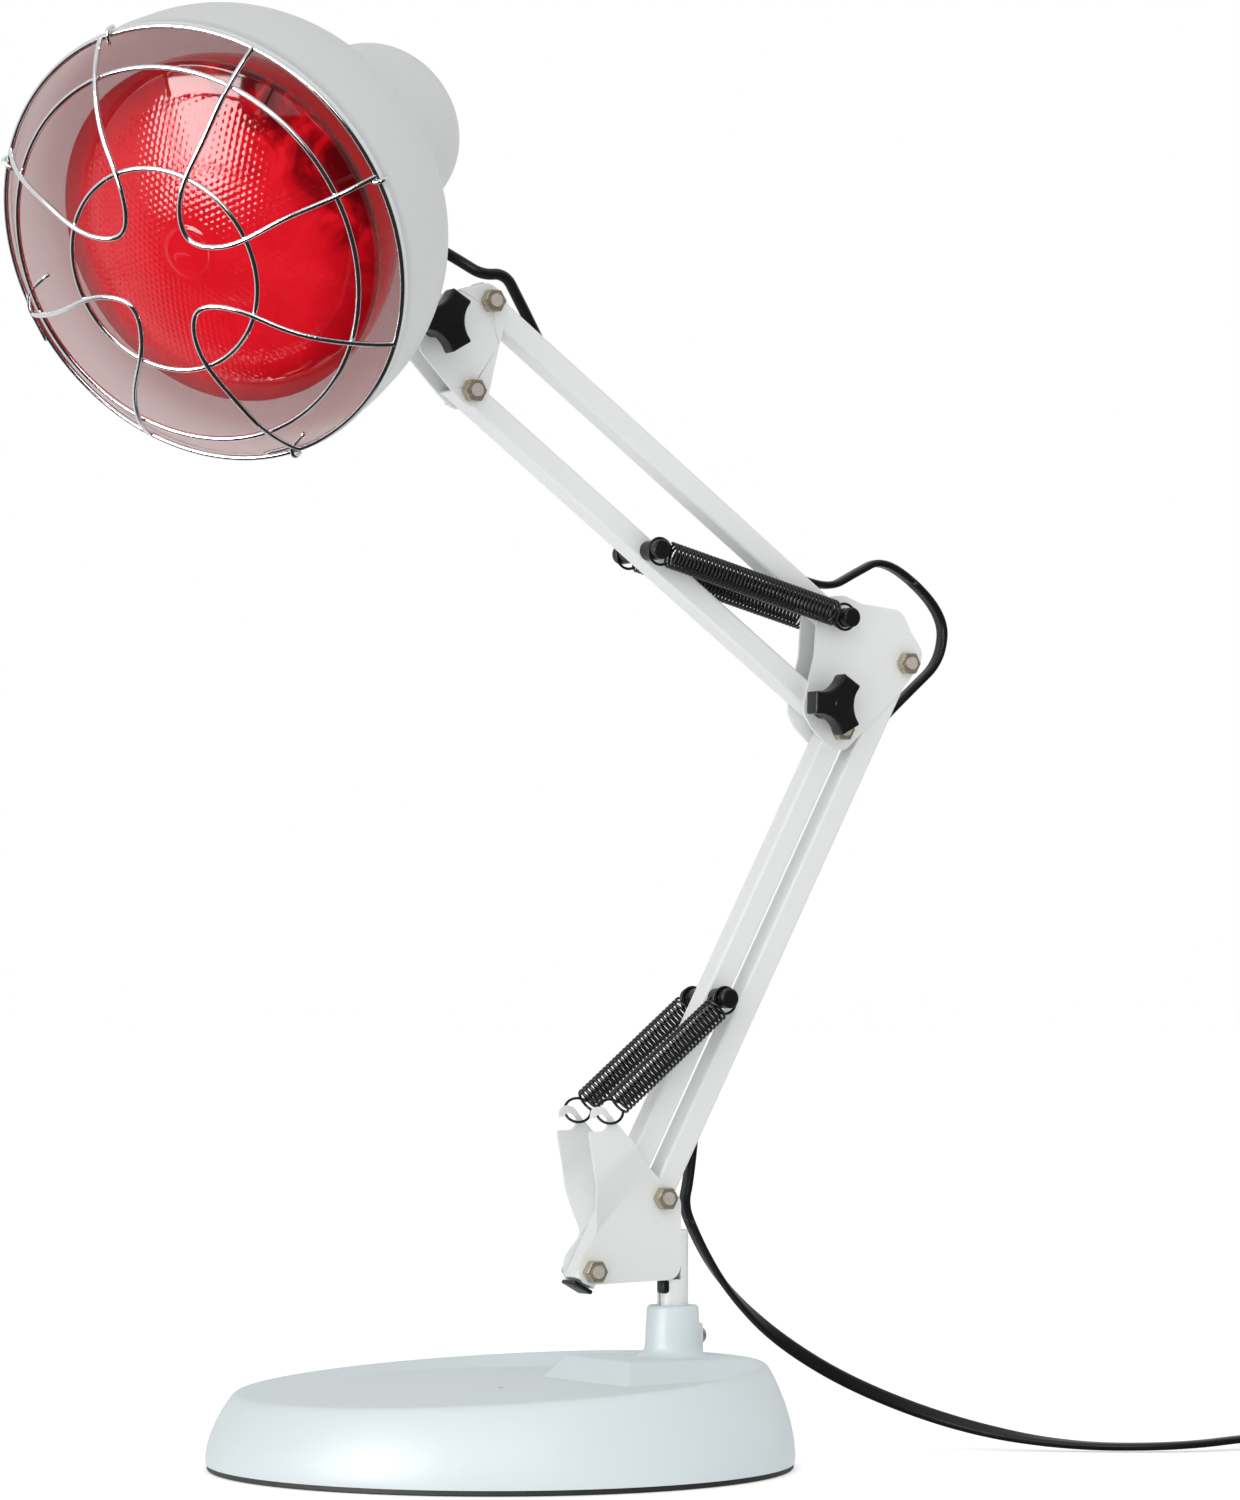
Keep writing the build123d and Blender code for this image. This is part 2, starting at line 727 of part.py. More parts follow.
# ---------------------------------------------------------------- elbow and head plates
with BuildPart() as elbow_plates:
    with BuildSketch(side_plane(-plate_inner)):
        with BuildLine():
            outline = [
                (elbow_top[0] - 10.0, elbow_top[1] + 2.5),
                (136.4, 303.0),
                (133.4, 292.0),
                (130.9, 281.5),
                (134.5, 275.6),
                (elbow_back[0] - 7.6, elbow_back[1] - 4.6),
                (elbow_back[0] + 1.0, elbow_back[1] - 9.3),
                (176.7, 290.2),
                (elbow_front[0] + 6.6, elbow_front[1] - 0.6),
                (elbow_front[0] + 8.3, elbow_front[1] + 4.6),
                (182.0, 313.3),
                (177.3, 321.8),
                (158.3, 323.7),
                (elbow_top[0] + 2.5, elbow_top[1] + 9.0),
                (elbow_top[0] - 5.6, elbow_top[1] + 8.2),
            ]
            FilletPolyline(*outline, radius=soft_corners(outline, 7.0, closed=True), close=True)
        make_face()
        with Locations(elbow_top, elbow_low, elbow_front, elbow_back):
            Circle(bolt_radius + bolt_fit, mode=Mode.SUBTRACT)
    extrude(amount=sheet)
    mirror(about=Plane.XZ)

with BuildPart() as head_plates:
    with BuildSketch(side_plane(-plate_inner)):
        with BuildLine():
            outline = [
                (head_top[0] - 0.4, head_top[1] + 7.4),
                (head_top[0] + 8.8, head_top[1] + 0.6),
                (-4.4, 413.0),
                (-8.7, 395.3),
                (head_low[0] + 5.4, head_low[1] - 4.4),
                (head_low[0] - 1.4, head_low[1] - 6.4),
                (-24.9, 395.0),
                (-37.6, 407.8),
                (tilt_x - 8.6, tilt_z - 2.4),
                (tilt_x - 7.4, tilt_z + 8.0),
                (-21.6, 432.4),
            ]
            FilletPolyline(*outline, radius=soft_corners(outline, 7.0, closed=True), close=True)
        make_face()
        with Locations(head_top, head_low, tilt_pivot):
            Circle(bolt_radius + bolt_fit, mode=Mode.SUBTRACT)
    extrude(amount=sheet)
    mirror(about=Plane.XZ)

# ---------------------------------------------------------------- neck
with BuildPart() as neck:
    with BuildSketch(side_plane(0)):
        with Locations(tilt_pivot):
            Circle(neck_eye_radius)
    extrude(amount=bar / 2, both=True)
    with BuildSketch(neck_frame):
        Circle(shank_radius)
    extrude(amount=collar_top)
    with BuildSketch(neck_frame.offset(collar_top - collar_height)):
        Circle(collar_radius)
    extrude(amount=collar_height)
    with BuildSketch(neck_frame.offset(collar_top)):
        Circle(stud_radius)
    extrude(amount=pad_height + pad_depth + swivel_nut_height + 3 * swivel_gap)
    with BuildSketch(side_plane(0)):
        with Locations(tilt_pivot):
            Circle(bolt_radius + bolt_fit)
    extrude(amount=bar, both=True, mode=Mode.SUBTRACT)

with BuildPart() as swivel_nut:
    with BuildSketch(neck_frame.offset(collar_top + pad_height + pad_depth + 2 * swivel_gap)):
        RegularPolygon(swivel_nut_flats / 2, 6, major_radius=False)
        Circle(stud_radius, mode=Mode.SUBTRACT)
    extrude(amount=swivel_nut_height)

# ---------------------------------------------------------------- head
with BuildPart() as shade_shell:
    with BuildSketch(shade_section):
        with BuildLine():
            band = Line((shade_radius, 0), (shade_band_radius, shade_band))
            dome = TangentArc(band @ 1, (dome_edge, dome_depth), tangent=band % 1)
            Polyline(dome @ 1, (seat_hole, dome_depth), (seat_hole, dome_depth - shade_sheet))
            inside = Line((shade_radius - shade_sheet, 0), (shade_band_radius - shade_sheet, shade_band))
            under = TangentArc(
                inside @ 1, (dome_edge, dome_depth - shade_sheet), tangent=inside % 1
            )
            Line(under @ 1, (seat_hole, dome_depth - shade_sheet))
            Line(band @ 0, inside @ 0)
        make_face()
    revolve(axis=shade_axis)

pad_plane = neck_frame.offset(collar_top + swivel_gap)
grommet_plane = Plane(
    origin=(shade_pivot + backwards * (grommet_depth - mouth_distance)),
    z_dir=(-neck_axis),
)

with BuildPart() as lamp_cap:
    with BuildSketch(shade_frame.offset(dome_depth)):
        Circle(cap_radius)
    extrude(amount=cap_depth - dome_depth)
    rear = lamp_cap.faces().sort_by(shade_axis)[-1]
    fillet(rear.edges(), cap_rounding)
    front = lamp_cap.faces().sort_by(shade_axis)[0]
    offset(amount=-cap_wall, openings=front)
    with BuildSketch(pad_plane):
        Circle(collar_radius + 1.0)
    extrude(amount=pad_height + pad_depth)
    with BuildSketch(pad_plane):
        Circle(stud_radius + bolt_fit)
    extrude(amount=pad_height + pad_depth, mode=Mode.SUBTRACT)
    with BuildSketch(grommet_plane):
        Circle(grommet_neck)
    extrude(amount=cap_radius + 1, mode=Mode.SUBTRACT)
    with BuildSketch(shade_frame.offset(cap_depth)):
        with Locations((0, holder_screw_spread / 2), (0, -holder_screw_spread / 2)):
            Circle(holder_screw_radius)
    extrude(amount=-2 * cap_wall, mode=Mode.SUBTRACT)

with BuildPart() as cord_grommet:
    with BuildSketch(grommet_plane.offset(cap_radius - cap_wall - 0.8)):
        Circle(grommet_neck)
    extrude(amount=cap_wall + 0.9)
    with BuildSketch(grommet_plane.offset(cap_radius)):
        Circle(grommet_radius)
    extrude(amount=grommet_flange)
    with BuildSketch(grommet_plane):
        Circle(cord_radius)
    extrude(amount=2 * cap_radius, mode=Mode.SUBTRACT)

with BuildPart() as lampholder:
    with BuildSketch(shade_frame.offset(holder_front)):
        Circle(holder_radius)
    extrude(amount=cap_depth - cap_wall - holder_front)
    with BuildSketch(shade_frame.offset(holder_front)):
        Circle(bulb_cap_radius + 0.1)
    extrude(amount=bulb_contact_end - holder_front, mode=Mode.SUBTRACT)
    with BuildSketch(shade_frame.offset(cap_depth)):
        with Locations((0, holder_screw_spread / 2), (0, -holder_screw_spread / 2)):
            Circle(holder_screw_radius)
    extrude(amount=-cap_wall - 10, mode=Mode.SUBTRACT)
    chamfer(lampholder.faces().sort_by(shade_axis)[0].edges(), 1.0)
    rear = lampholder.faces().sort_by(shade_axis)[-1]
    fillet(rear.edges().sort_by(SortBy.LENGTH)[-1], holder_rounding)

with BuildPart() as holder_screws:
    with BuildSketch(shade_frame.offset(cap_depth)):
        with Locations((0, holder_screw_spread / 2), (0, -holder_screw_spread / 2)):
            Circle(2 * holder_screw_radius)
    extrude(amount=1.6)
    fillet(holder_screws.faces().sort_by(shade_axis)[-2:].edges(), 0.9)
    with BuildSketch(shade_frame.offset(cap_depth)):
        with Locations((0, holder_screw_spread / 2), (0, -holder_screw_spread / 2)):
            Circle(holder_screw_radius)
    extrude(amount=-cap_wall - 9)

lens_edge = bulb_radius - 1.0
lens_sphere = (lens_edge**2 + lens_height**2) / (2 * lens_height)
lens_sweep = degrees(asin(lens_edge / lens_sphere))
inner_sphere = lens_sphere - lens_thickness
inner_sweep = degrees(asin((lens_edge - lens_thickness) / inner_sphere))
lens_middle = (0, bulb_front + lens_sphere)

with BuildPart() as bulb_lens:
    with BuildSketch(shade_section):
        with BuildLine():
            crown = CenterArc(lens_middle, lens_sphere, -90, lens_sweep)
            hollow = CenterArc(lens_middle, inner_sphere, -90, inner_sweep)
            Polyline(
                crown @ 1,
                (bulb_radius, bulb_front + lens_height + 1.0),
                (bulb_radius, bulb_seam),
                (lens_edge - lens_thickness, bulb_seam),
                hollow @ 1,
            )
            Line(crown @ 0, hollow @ 0)
        make_face()
    revolve(axis=shade_axis)

with BuildPart() as bulb_reflector:
    with BuildSketch(shade_section):
        with BuildLine():
            step = Line((bulb_radius, bulb_seam), (bulb_radius, bulb_seam + 4.0))
            bowl = ThreePointArc(step @ 1, (52.0, 47.0), (bulb_waist_radius, bulb_waist))
            throat = TangentArc(bowl @ 1, (bulb_neck_radius, bulb_neck), tangent=bowl % 1)
            Polyline(
                throat @ 1,
                (bulb_neck_radius, bulb_cap_front),
                (bulb_neck_radius - bulb_glass, bulb_cap_front),
                (bulb_neck_radius - bulb_glass, bulb_neck),
            )
            lining = ThreePointArc(
                (bulb_radius - bulb_glass, bulb_seam + 4.0),
                (52.0 - 0.8 * bulb_glass, 47.0 - 0.6 * bulb_glass),
                (bulb_waist_radius - 0.6 * bulb_glass, bulb_waist - 0.8 * bulb_glass),
            )
            TangentArc(
                lining @ 1, (bulb_neck_radius - bulb_glass, bulb_neck), tangent=lining % 1
            )
            Polyline(step @ 0, (bulb_radius - bulb_glass, bulb_seam), lining @ 0)
        make_face()
    revolve(axis=shade_axis)

with BuildPart() as bulb_cap:
    with BuildSketch(shade_frame.offset(bulb_cap_front)):
        Circle(bulb_cap_radius)
    extrude(amount=bulb_cap_end - bulb_cap_front)
    chamfer(bulb_cap.faces().sort_by(shade_axis)[-1].edges(), 2.0)

with BuildPart() as bulb_contact:
    with BuildSketch(shade_frame.offset(bulb_cap_end)):
        Circle(bulb_contact_radius)
    extrude(amount=bulb_contact_end - bulb_cap_end)

# ---------------------------------------------------------------- wire guard
ring_gap = 2 * guard_wire
with BuildPart() as guard_rings:
    with BuildSketch(shade_section):
        with Locations(
            (guard_rim_radius, -guard_wire),
            (guard_middle_radius, -guard_middle_front + ring_gap),
            (guard_inner_radius, -guard_inner_front + ring_gap),
        ):
            Circle(guard_wire)
    revolve(axis=shade_axis)


def guard_point(radius, spread, turn, front):
    """A point of a guard loop: across its middle line, turned about the shade's axis."""
    lean = radians(turn)
    x = radius * cos(lean) - spread * sin(lean)
    y = radius * sin(lean) + spread * cos(lean)
    return (x, y, -front)


reach = guard_rim_radius * cos(radians(guard_loop_spread))
width = guard_rim_radius * sin(radians(guard_loop_spread))
opening = degrees(asin(guard_bend_radius / sqrt((reach - guard_bend_centre) ** 2 + width**2)))
leg_lean = radians(
    degrees(asin(width / sqrt((reach - guard_bend_centre) ** 2 + width**2))) - opening
)
bend_x = guard_bend_centre - guard_bend_radius * sin(leg_lean)
bend_y = guard_bend_radius * cos(leg_lean)

with BuildPart() as guard_loops:
    for count in range(guard_loop_count):
        turn = guard_loop_turn + 360 * count / guard_loop_count
        with BuildLine(shade_frame) as loop:
            legs = []
            for hand in (1, -1):
                foot = guard_point(reach, hand * width, turn, guard_wire)
                ankle = guard_point(
                    reach - 2.6, hand * (width - 2.6 * tan(leg_lean)), turn, 5.0
                )
                knee = guard_point(
                    reach - 10.0, hand * (width - 10.0 * tan(leg_lean)), turn, guard_middle_front
                )
                shin = guard_point(
                    (reach + bend_x) / 2 - 4, hand * ((width + bend_y) / 2 - 4 * tan(leg_lean)), turn,
                    guard_inner_front - 4.0,
                )
                toe = guard_point(bend_x, hand * bend_y, turn, guard_nose - 0.4)
                legs.append([foot, ankle, knee, shin, toe])
            tip = guard_point(guard_bend_centre - guard_bend_radius, 0, turn, guard_nose)
            Spline(*legs[0], tip, *reversed(legs[1]))
        with BuildSketch(Plane(origin=loop.line @ 0, z_dir=loop.line % 0)):
            Circle(guard_wire)
        sweep(path=loop.line)

clip_wire = guard_wire - 0.1
with BuildPart() as guard_clips:
    # Wire hooks that grip the shade's edge from the guard's outer ring.
    for turn in guard_clip_turns:
        radial = neck_axis * cos(radians(turn)) - across_shade * sin(radians(turn))
        side = Plane(origin=mouth, x_dir=radial, z_dir=radial.cross(backwards))
        with BuildLine(side):
            hook_line = FilletPolyline(
                (guard_rim_radius - 3.4, guard_clip_length),
                (guard_rim_radius - 3.0, -2 * guard_wire - clip_wire),
                (shade_radius + 0.2 + clip_wire, -2 * guard_wire - clip_wire),
                (shade_radius + 0.2 + clip_wire, guard_clip_length),
                radius=1.6,
            )
        with BuildSketch(Plane(origin=hook_line @ 0, z_dir=hook_line % 0)):
            Circle(clip_wire)
        sweep(path=hook_line)


# ---------------------------------------------------------------- cord
def cord_run(name, points):
    """A round cord along a run of points, its corners as wide as the points allow."""
    radii = soft_corners(points, 60.0)
    print(name, "bend radii", [round(radius, 1) for radius in radii])
    with BuildPart() as run:
        with BuildLine() as line:
            if radii:
                FilletPolyline(*points, radius=radii)
            else:
                Line(*points)
        with BuildSketch(Plane(origin=line.line @ 0, z_dir=line.line % 0)):
            Circle(cord_radius)
        sweep(path=line.line)
    return run


def in_arm(start, angle, distance, lift=0.0):
    """A point beside an arm tube's axis, lifted towards its slotted face."""
    x, z = along(along(start, angle, distance), angle - 90, lift)
    return (x, 0, z)


def between(first, second, share):
    """The point that share of the way from one point to another."""
    return tuple(Vector(*first) + (Vector(*second) - Vector(*first)) * share)


exit_start = in_arm(lower_front, lower_angle, 52.0)
elbow_start = in_arm(lower_front, lower_angle, lower_length - 46.0)
boom_start = in_arm(elbow_top, upper_angle, 44.0)
boom_end = in_arm(elbow_top, upper_angle, upper_length - 48.0)
below_bracket = (88.0, 0, 76.8)
beside_bracket = (79.8, 0, 94.0)
free_start = between(beside_bracket, below_bracket, 0.32)
elbow_side = (201.5, 0, 322.5)
elbow_above = (173.5, 0, 343.0)
elbow_crown = between(elbow_side, elbow_above, 0.5)
grommet_face = grommet_plane.origin - neck_axis * (cap_radius + grommet_flange + cord_gap)
# The cord's ends leave the ring low on its side, just clear of it.
coil_edge = coil_radius + sqrt(
    (coil_bundle + cord_radius + 0.05) ** 2 - (coil_bundle - cord_lie) ** 2
)
switch_end = switch_length / 2 + relief_length + cord_gap

cord_in_lower_bar = cord_run("cord_in_lower_bar", [exit_start, elbow_start])
cord_exit = cord_run(
    "cord_exit",
    [
        exit_start,
        in_arm(lower_front, lower_angle, 38.0),
        (82.3, 0, 103.2),
        beside_bracket,
        free_start,
    ],
)
cord_elbow_lower = cord_run(
    "cord_elbow_lower",
    [
        elbow_start,
        in_arm(lower_front, lower_angle, lower_length - 33.0),
        (185.5, 0, 291.5),
        (200.0, 0, 303.5),
        elbow_side,
        elbow_crown,
    ],
)
cord_elbow_upper = cord_run(
    "cord_elbow_upper",
    [
        elbow_crown,
        elbow_above,
        (158.5, 0, 335.6),
        (146.0, 0, 329.0),
        in_arm(elbow_top, upper_angle, 32.0),
        boom_start,
    ],
)
cord_in_boom = cord_run("cord_in_boom", [boom_start, boom_end])
cord_head = cord_run(
    "cord_head",
    [
        tuple(grommet_face),
        tuple(grommet_face - neck_axis * 7.5),
        (-15.0, 5.0, 444.6),
        (-8.4, 0.6, 439.6),
        (1.5, 0, 440.6),
        (9.6, 0, 427.4),
        in_arm(elbow_top, upper_angle, upper_length - 36.0),
        boom_end,
    ],
)
cord_in_cap = cord_run(
    "cord_in_cap",
    [
        tuple(grommet_face + neck_axis * cord_gap),
        tuple(grommet_plane.origin - neck_axis * holder_radius),
    ],
)
cord_on_table = cord_run(
    "cord_on_table",
    [
        free_start,
        below_bracket,
        (101.5, -1.0, 58.8),
        (122.0, -4.0, 40.8),
        (150.0, -12.5, 23.6),
        (184.0, -32.0, 8.8),
        (213.0, -60.5, cord_lie),
        (247.0, -86.0, cord_lie),
        (switch_x - switch_end, switch_y, switch_entry),
    ],
)
cord_to_coil = cord_run(
    "cord_to_coil",
    [
        (switch_x + switch_end, switch_y, switch_entry),
        (switch_x + switch_end + 5.0, switch_y, switch_entry),
        (switch_x + switch_end + 12.0, switch_y + 0.4, cord_lie),
        (coil_x + 1.0, coil_y + coil_edge, cord_lie),
    ],
)
cord_to_plug = cord_run(
    "cord_to_plug",
    [
        (coil_x - 4.0, coil_y - coil_edge, cord_lie),
        (coil_x - 14.0, coil_y - coil_edge + 0.5, cord_lie),
        (plug_x + plug_relief + 9.0, plug_y, plug_height / 2),
        (plug_x + plug_relief + cord_gap, plug_y, plug_height / 2),
    ],
)

with BuildPart() as cord_coil:
    # The rest of the cord, wound up: one closed ring as thick as its turns together.
    with BuildSketch(Plane((coil_x, coil_y, coil_bundle), x_dir=(1, 0, 0), z_dir=(0, -1, 0))):
        with Locations((coil_radius, 0)):
            Circle(coil_bundle)
    revolve(axis=Axis((coil_x, coil_y, 0), (0, 0, 1)))

# ---------------------------------------------------------------- switch on the cord
switch_middle = Plane(origin=(switch_x, switch_y, 0), x_dir=(1, 0, 0), z_dir=(0, 0, 1))
switch_side = Plane(origin=(switch_x, switch_y, 0), x_dir=(1, 0, 0), z_dir=(0, -1, 0))
switch_ends = (
    Plane(origin=(switch_x - switch_length / 2, switch_y, switch_entry), z_dir=(-1, 0, 0)),
    Plane(origin=(switch_x + switch_length / 2, switch_y, switch_entry), z_dir=(1, 0, 0)),
)

with BuildPart() as switch_base:
    with BuildSketch(switch_middle):
        RectangleRounded(switch_length, switch_width, switch_corner)
    extrude(amount=switch_split)
    chamfer(switch_base.faces().sort_by(Axis.Z)[0].edges(), 0.8)
    for end in switch_ends:
        with BuildSketch(end):
            Circle(relief_radius)
        with BuildSketch(end.offset(relief_length)):
            Circle(cord_radius + 0.8)
        loft()
    with BuildSketch(switch_middle.offset(switch_wall)):
        RectangleRounded(
            switch_length - 2 * switch_wall, switch_width - 2 * switch_wall, switch_corner - switch_wall
        )
    extrude(amount=switch_height, mode=Mode.SUBTRACT)
    for end in switch_ends:
        with BuildSketch(end.offset(-switch_wall)):
            Circle(cord_radius)
        extrude(amount=switch_wall + relief_length, mode=Mode.SUBTRACT)

with BuildPart() as switch_cover:
    with BuildSketch(switch_middle.offset(switch_split)):
        RectangleRounded(switch_length, switch_width, switch_corner)
    extrude(amount=switch_height - switch_split)
    fillet(switch_cover.faces().sort_by(Axis.Z)[-1].edges(), 3.0)
    with BuildSketch(switch_middle.offset(switch_split)):
        RectangleRounded(
            switch_length - 2 * switch_wall, switch_width - 2 * switch_wall, switch_corner - switch_wall
        )
    extrude(amount=switch_height - switch_split - switch_wall, mode=Mode.SUBTRACT)
    # Walls around the rocker, and its window.
    with BuildSketch(switch_middle.offset(switch_split)):
        Rectangle(
            rocker_length + 2 * (rocker_gap + switch_wall), rocker_width + 2 * (rocker_gap + switch_wall)
        )
    extrude(amount=switch_height - switch_split - switch_wall / 2)
    with BuildSketch(switch_middle.offset(switch_split)):
        Rectangle(rocker_length + 2 * rocker_gap, rocker_width + 2 * rocker_gap)
    extrude(amount=switch_height, mode=Mode.SUBTRACT)
    with BuildSketch(switch_side):
        with Locations((0, rocker_pivot)):
            Circle(rocker_pin_radius)
    extrude(amount=rocker_width / 2 + rocker_gap + switch_wall, both=True, mode=Mode.SUBTRACT)

with BuildPart() as rocker_pin:
    with BuildSketch(switch_side):
        with Locations((0, rocker_pivot)):
            Circle(rocker_pin_radius)
    extrude(amount=rocker_width / 2 + rocker_gap + switch_wall, both=True)

with BuildPart() as switch_rocker:
    # Its ends are arcs about the pin, so they pass the window's edges at every angle.
    with BuildSketch(switch_side):
        with Locations((0, rocker_pivot)):
            Circle(rocker_length / 2)
            Polygon(
                (-rocker_length, -3.4),
                (rocker_length, -3.4),
                (rocker_length, 2 * rocker_rise),
                (0, 1.6),
                (-rocker_length, 2 * rocker_rise),
                align=None,
                mode=Mode.INTERSECT,
            )
            Circle(rocker_pin_radius + bolt_fit, mode=Mode.SUBTRACT)
    extrude(amount=rocker_width / 2, both=True)

# ---------------------------------------------------------------- plug
plug_plane = Plane(origin=(plug_x, plug_y, plug_height / 2), x_dir=(0, 1, 0), z_dir=(-1, 0, 0))

with BuildPart() as plug_body:
    with BuildSketch(plug_plane):
        RectangleRounded(0.55 * plug_width, plug_height, 0.4 * plug_height)
    with BuildSketch(plug_plane.offset(0.55 * plug_length)):
        RectangleRounded(plug_width, plug_height, 0.4 * plug_height)
    loft()
    with BuildSketch(plug_plane.offset(0.55 * plug_length)):
        RectangleRounded(plug_width, plug_height, 0.4 * plug_height)
    extrude(amount=0.45 * plug_length)
    with BuildSketch(plug_plane):
        Circle(0.42 * plug_height)
    with BuildSketch(plug_plane.offset(-plug_relief)):
        Circle(cord_radius + 0.7)
    loft()
    with BuildSketch(plug_plane.offset(plug_length)):
        with Locations((pin_spacing / 2, 0), (-pin_spacing / 2, 0)):
            Circle(pin_radius)
    extrude(amount=-0.4 * plug_length, mode=Mode.SUBTRACT)

with BuildPart() as plug_pins:
    with BuildSketch(plug_plane.offset(0.6 * plug_length)):
        with Locations((pin_spacing / 2, 0), (-pin_spacing / 2, 0)):
            Circle(pin_radius)
    extrude(amount=0.4 * plug_length + pin_length)
    chamfer(plug_pins.faces().sort_by(Axis.X)[:2].edges(), 0.8)

pieces = {
    "base_shell": base_shell,
    "base_cover": base_cover,
    "foot_pad": foot_pad,
    "base_weight": base_weight,
    "cover_screws": cover_screws,
    "column_bush": column_bush,
    "clamp_screw": clamp_screw,
    "lower_bracket": lower_bracket,
    "lower_bolts": lower_bolts,
    "lower_nuts": lower_nuts,
    "right_bar": right_bar,
    "left_bar": left_bar,
    "lower_spring_post": lower_spring_post,
    "lower_springs": lower_springs,
    "elbow_plates": elbow_plates,
    "elbow_bolts": elbow_bolts,
    "elbow_nuts": elbow_nuts,
    "elbow_spring_stud": elbow_spring_stud,
    "elbow_knob_bolt": elbow_knob_bolt,
    "elbow_knob": elbow_knob,
    "boom_upper": boom_upper,
    "boom_lower": boom_lower,
    "upper_spring_post": upper_spring_post,
    "upper_springs": upper_springs,
    "head_plates": head_plates,
    "head_bolts": head_bolts,
    "head_nuts": head_nuts,
    "head_knob_bolt": head_knob_bolt,
    "head_knob": head_knob,
    "neck": neck,
    "swivel_nut": swivel_nut,
    "shade_shell": shade_shell,
    "lamp_cap": lamp_cap,
    "cord_grommet": cord_grommet,
    "lampholder": lampholder,
    "holder_screws": holder_screws,
    "bulb_lens": bulb_lens,
    "bulb_reflector": bulb_reflector,
    "bulb_cap": bulb_cap,
    "bulb_contact": bulb_contact,
    "guard_rings": guard_rings,
    "guard_loops": guard_loops,
    "guard_clips": guard_clips,
    "cord_in_lower_bar": cord_in_lower_bar,
    "cord_exit": cord_exit,
    "cord_elbow_lower": cord_elbow_lower,
    "cord_elbow_upper": cord_elbow_upper,
    "cord_in_boom": cord_in_boom,
    "cord_head": cord_head,
    "cord_in_cap": cord_in_cap,
    "cord_on_table": cord_on_table,
    "cord_to_coil": cord_to_coil,
    "cord_to_plug": cord_to_plug,
    "cord_coil": cord_coil,
    "switch_base": switch_base,
    "switch_cover": switch_cover,
    "rocker_pin": rocker_pin,
    "switch_rocker": switch_rocker,
    "plug_body": plug_body,
    "plug_pins": plug_pins,
}
for name, piece in pieces.items():
    piece.part.label = name
    export_step(piece.part, f"parts/{name}.step")
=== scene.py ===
from math import atan2, cos, exp, hypot, pi, radians, sin, sqrt

import bmesh
import bpy
from mathutils import Matrix, Vector


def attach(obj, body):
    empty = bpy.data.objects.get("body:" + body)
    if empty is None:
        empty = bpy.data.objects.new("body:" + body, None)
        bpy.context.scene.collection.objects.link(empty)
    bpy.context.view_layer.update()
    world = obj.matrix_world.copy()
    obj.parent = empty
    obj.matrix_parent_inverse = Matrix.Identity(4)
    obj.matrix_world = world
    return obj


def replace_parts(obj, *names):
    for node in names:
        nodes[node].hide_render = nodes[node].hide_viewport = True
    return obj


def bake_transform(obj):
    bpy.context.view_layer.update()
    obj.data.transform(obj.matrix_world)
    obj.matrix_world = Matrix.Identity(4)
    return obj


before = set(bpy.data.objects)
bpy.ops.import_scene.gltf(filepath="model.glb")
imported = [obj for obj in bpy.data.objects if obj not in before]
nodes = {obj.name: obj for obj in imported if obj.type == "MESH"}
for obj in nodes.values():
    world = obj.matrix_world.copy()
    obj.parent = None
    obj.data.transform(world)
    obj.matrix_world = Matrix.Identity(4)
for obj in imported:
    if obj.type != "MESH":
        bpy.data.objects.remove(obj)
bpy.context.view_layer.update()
scene = bpy.context.scene

# ---------------------------------------------------------------- table, light and camera
# The lamp stands on a white table in a light tent: an even bright sky, a large soft panel
# high on the left, and two panels that only show as reflections in the bulb and the wire.
table_mesh = bpy.data.meshes.new("table")
bm = bmesh.new()
bmesh.ops.create_grid(bm, x_segments=1, y_segments=1, size=14.0)
bm.to_mesh(table_mesh)
bm.free()
table = bpy.data.objects.new("table", table_mesh)
scene.collection.objects.link(table)
table.location.z = -0.0002
table_top = bpy.data.materials.new("table_top")
table_top.use_nodes = True
shader = table_top.node_tree.nodes["Principled BSDF"]
shader.inputs["Base Color"].default_value = (0.86, 0.865, 0.87, 1)
shader.inputs["Roughness"].default_value = 0.7
shader.inputs["Emission Color"].default_value = (1, 1, 1, 1)
tree = table_top.node_tree
table_rays = tree.nodes.new("ShaderNodeLightPath")
shine = tree.nodes.new("ShaderNodeMapRange")
shine.inputs["To Min"].default_value, shine.inputs["To Max"].default_value = 0.26, 0.46
tree.links.new(table_rays.outputs["Is Camera Ray"], shine.inputs["Value"])
tree.links.new(shine.outputs["Result"], shader.inputs["Emission Strength"])
table_mesh.materials.append(table_top)
table.visible_glossy = False

sky = bpy.data.worlds.new("light_tent")
scene.world = sky
sky.use_nodes = True
tree = sky.node_tree
tree.nodes.clear()
where = tree.nodes.new("ShaderNodeTexCoord")


def glow(towards, low, high, first, last):
    """Brightness of the tent that grows towards one side of it."""
    along = tree.nodes.new("ShaderNodeVectorMath")
    along.operation = "DOT_PRODUCT"
    along.inputs[1].default_value = Vector(towards).normalized()
    ramp = tree.nodes.new("ShaderNodeMapRange")
    ramp.interpolation_type = "SMOOTHSTEP"
    ramp.inputs["From Min"].default_value, ramp.inputs["From Max"].default_value = low, high
    ramp.inputs["To Min"].default_value, ramp.inputs["To Max"].default_value = first, last
    light = tree.nodes.new("ShaderNodeBackground")
    tree.links.new(where.outputs["Generated"], along.inputs[0])
    tree.links.new(along.outputs["Value"], ramp.inputs["Value"])
    tree.links.new(ramp.outputs["Result"], light.inputs["Strength"])
    return light


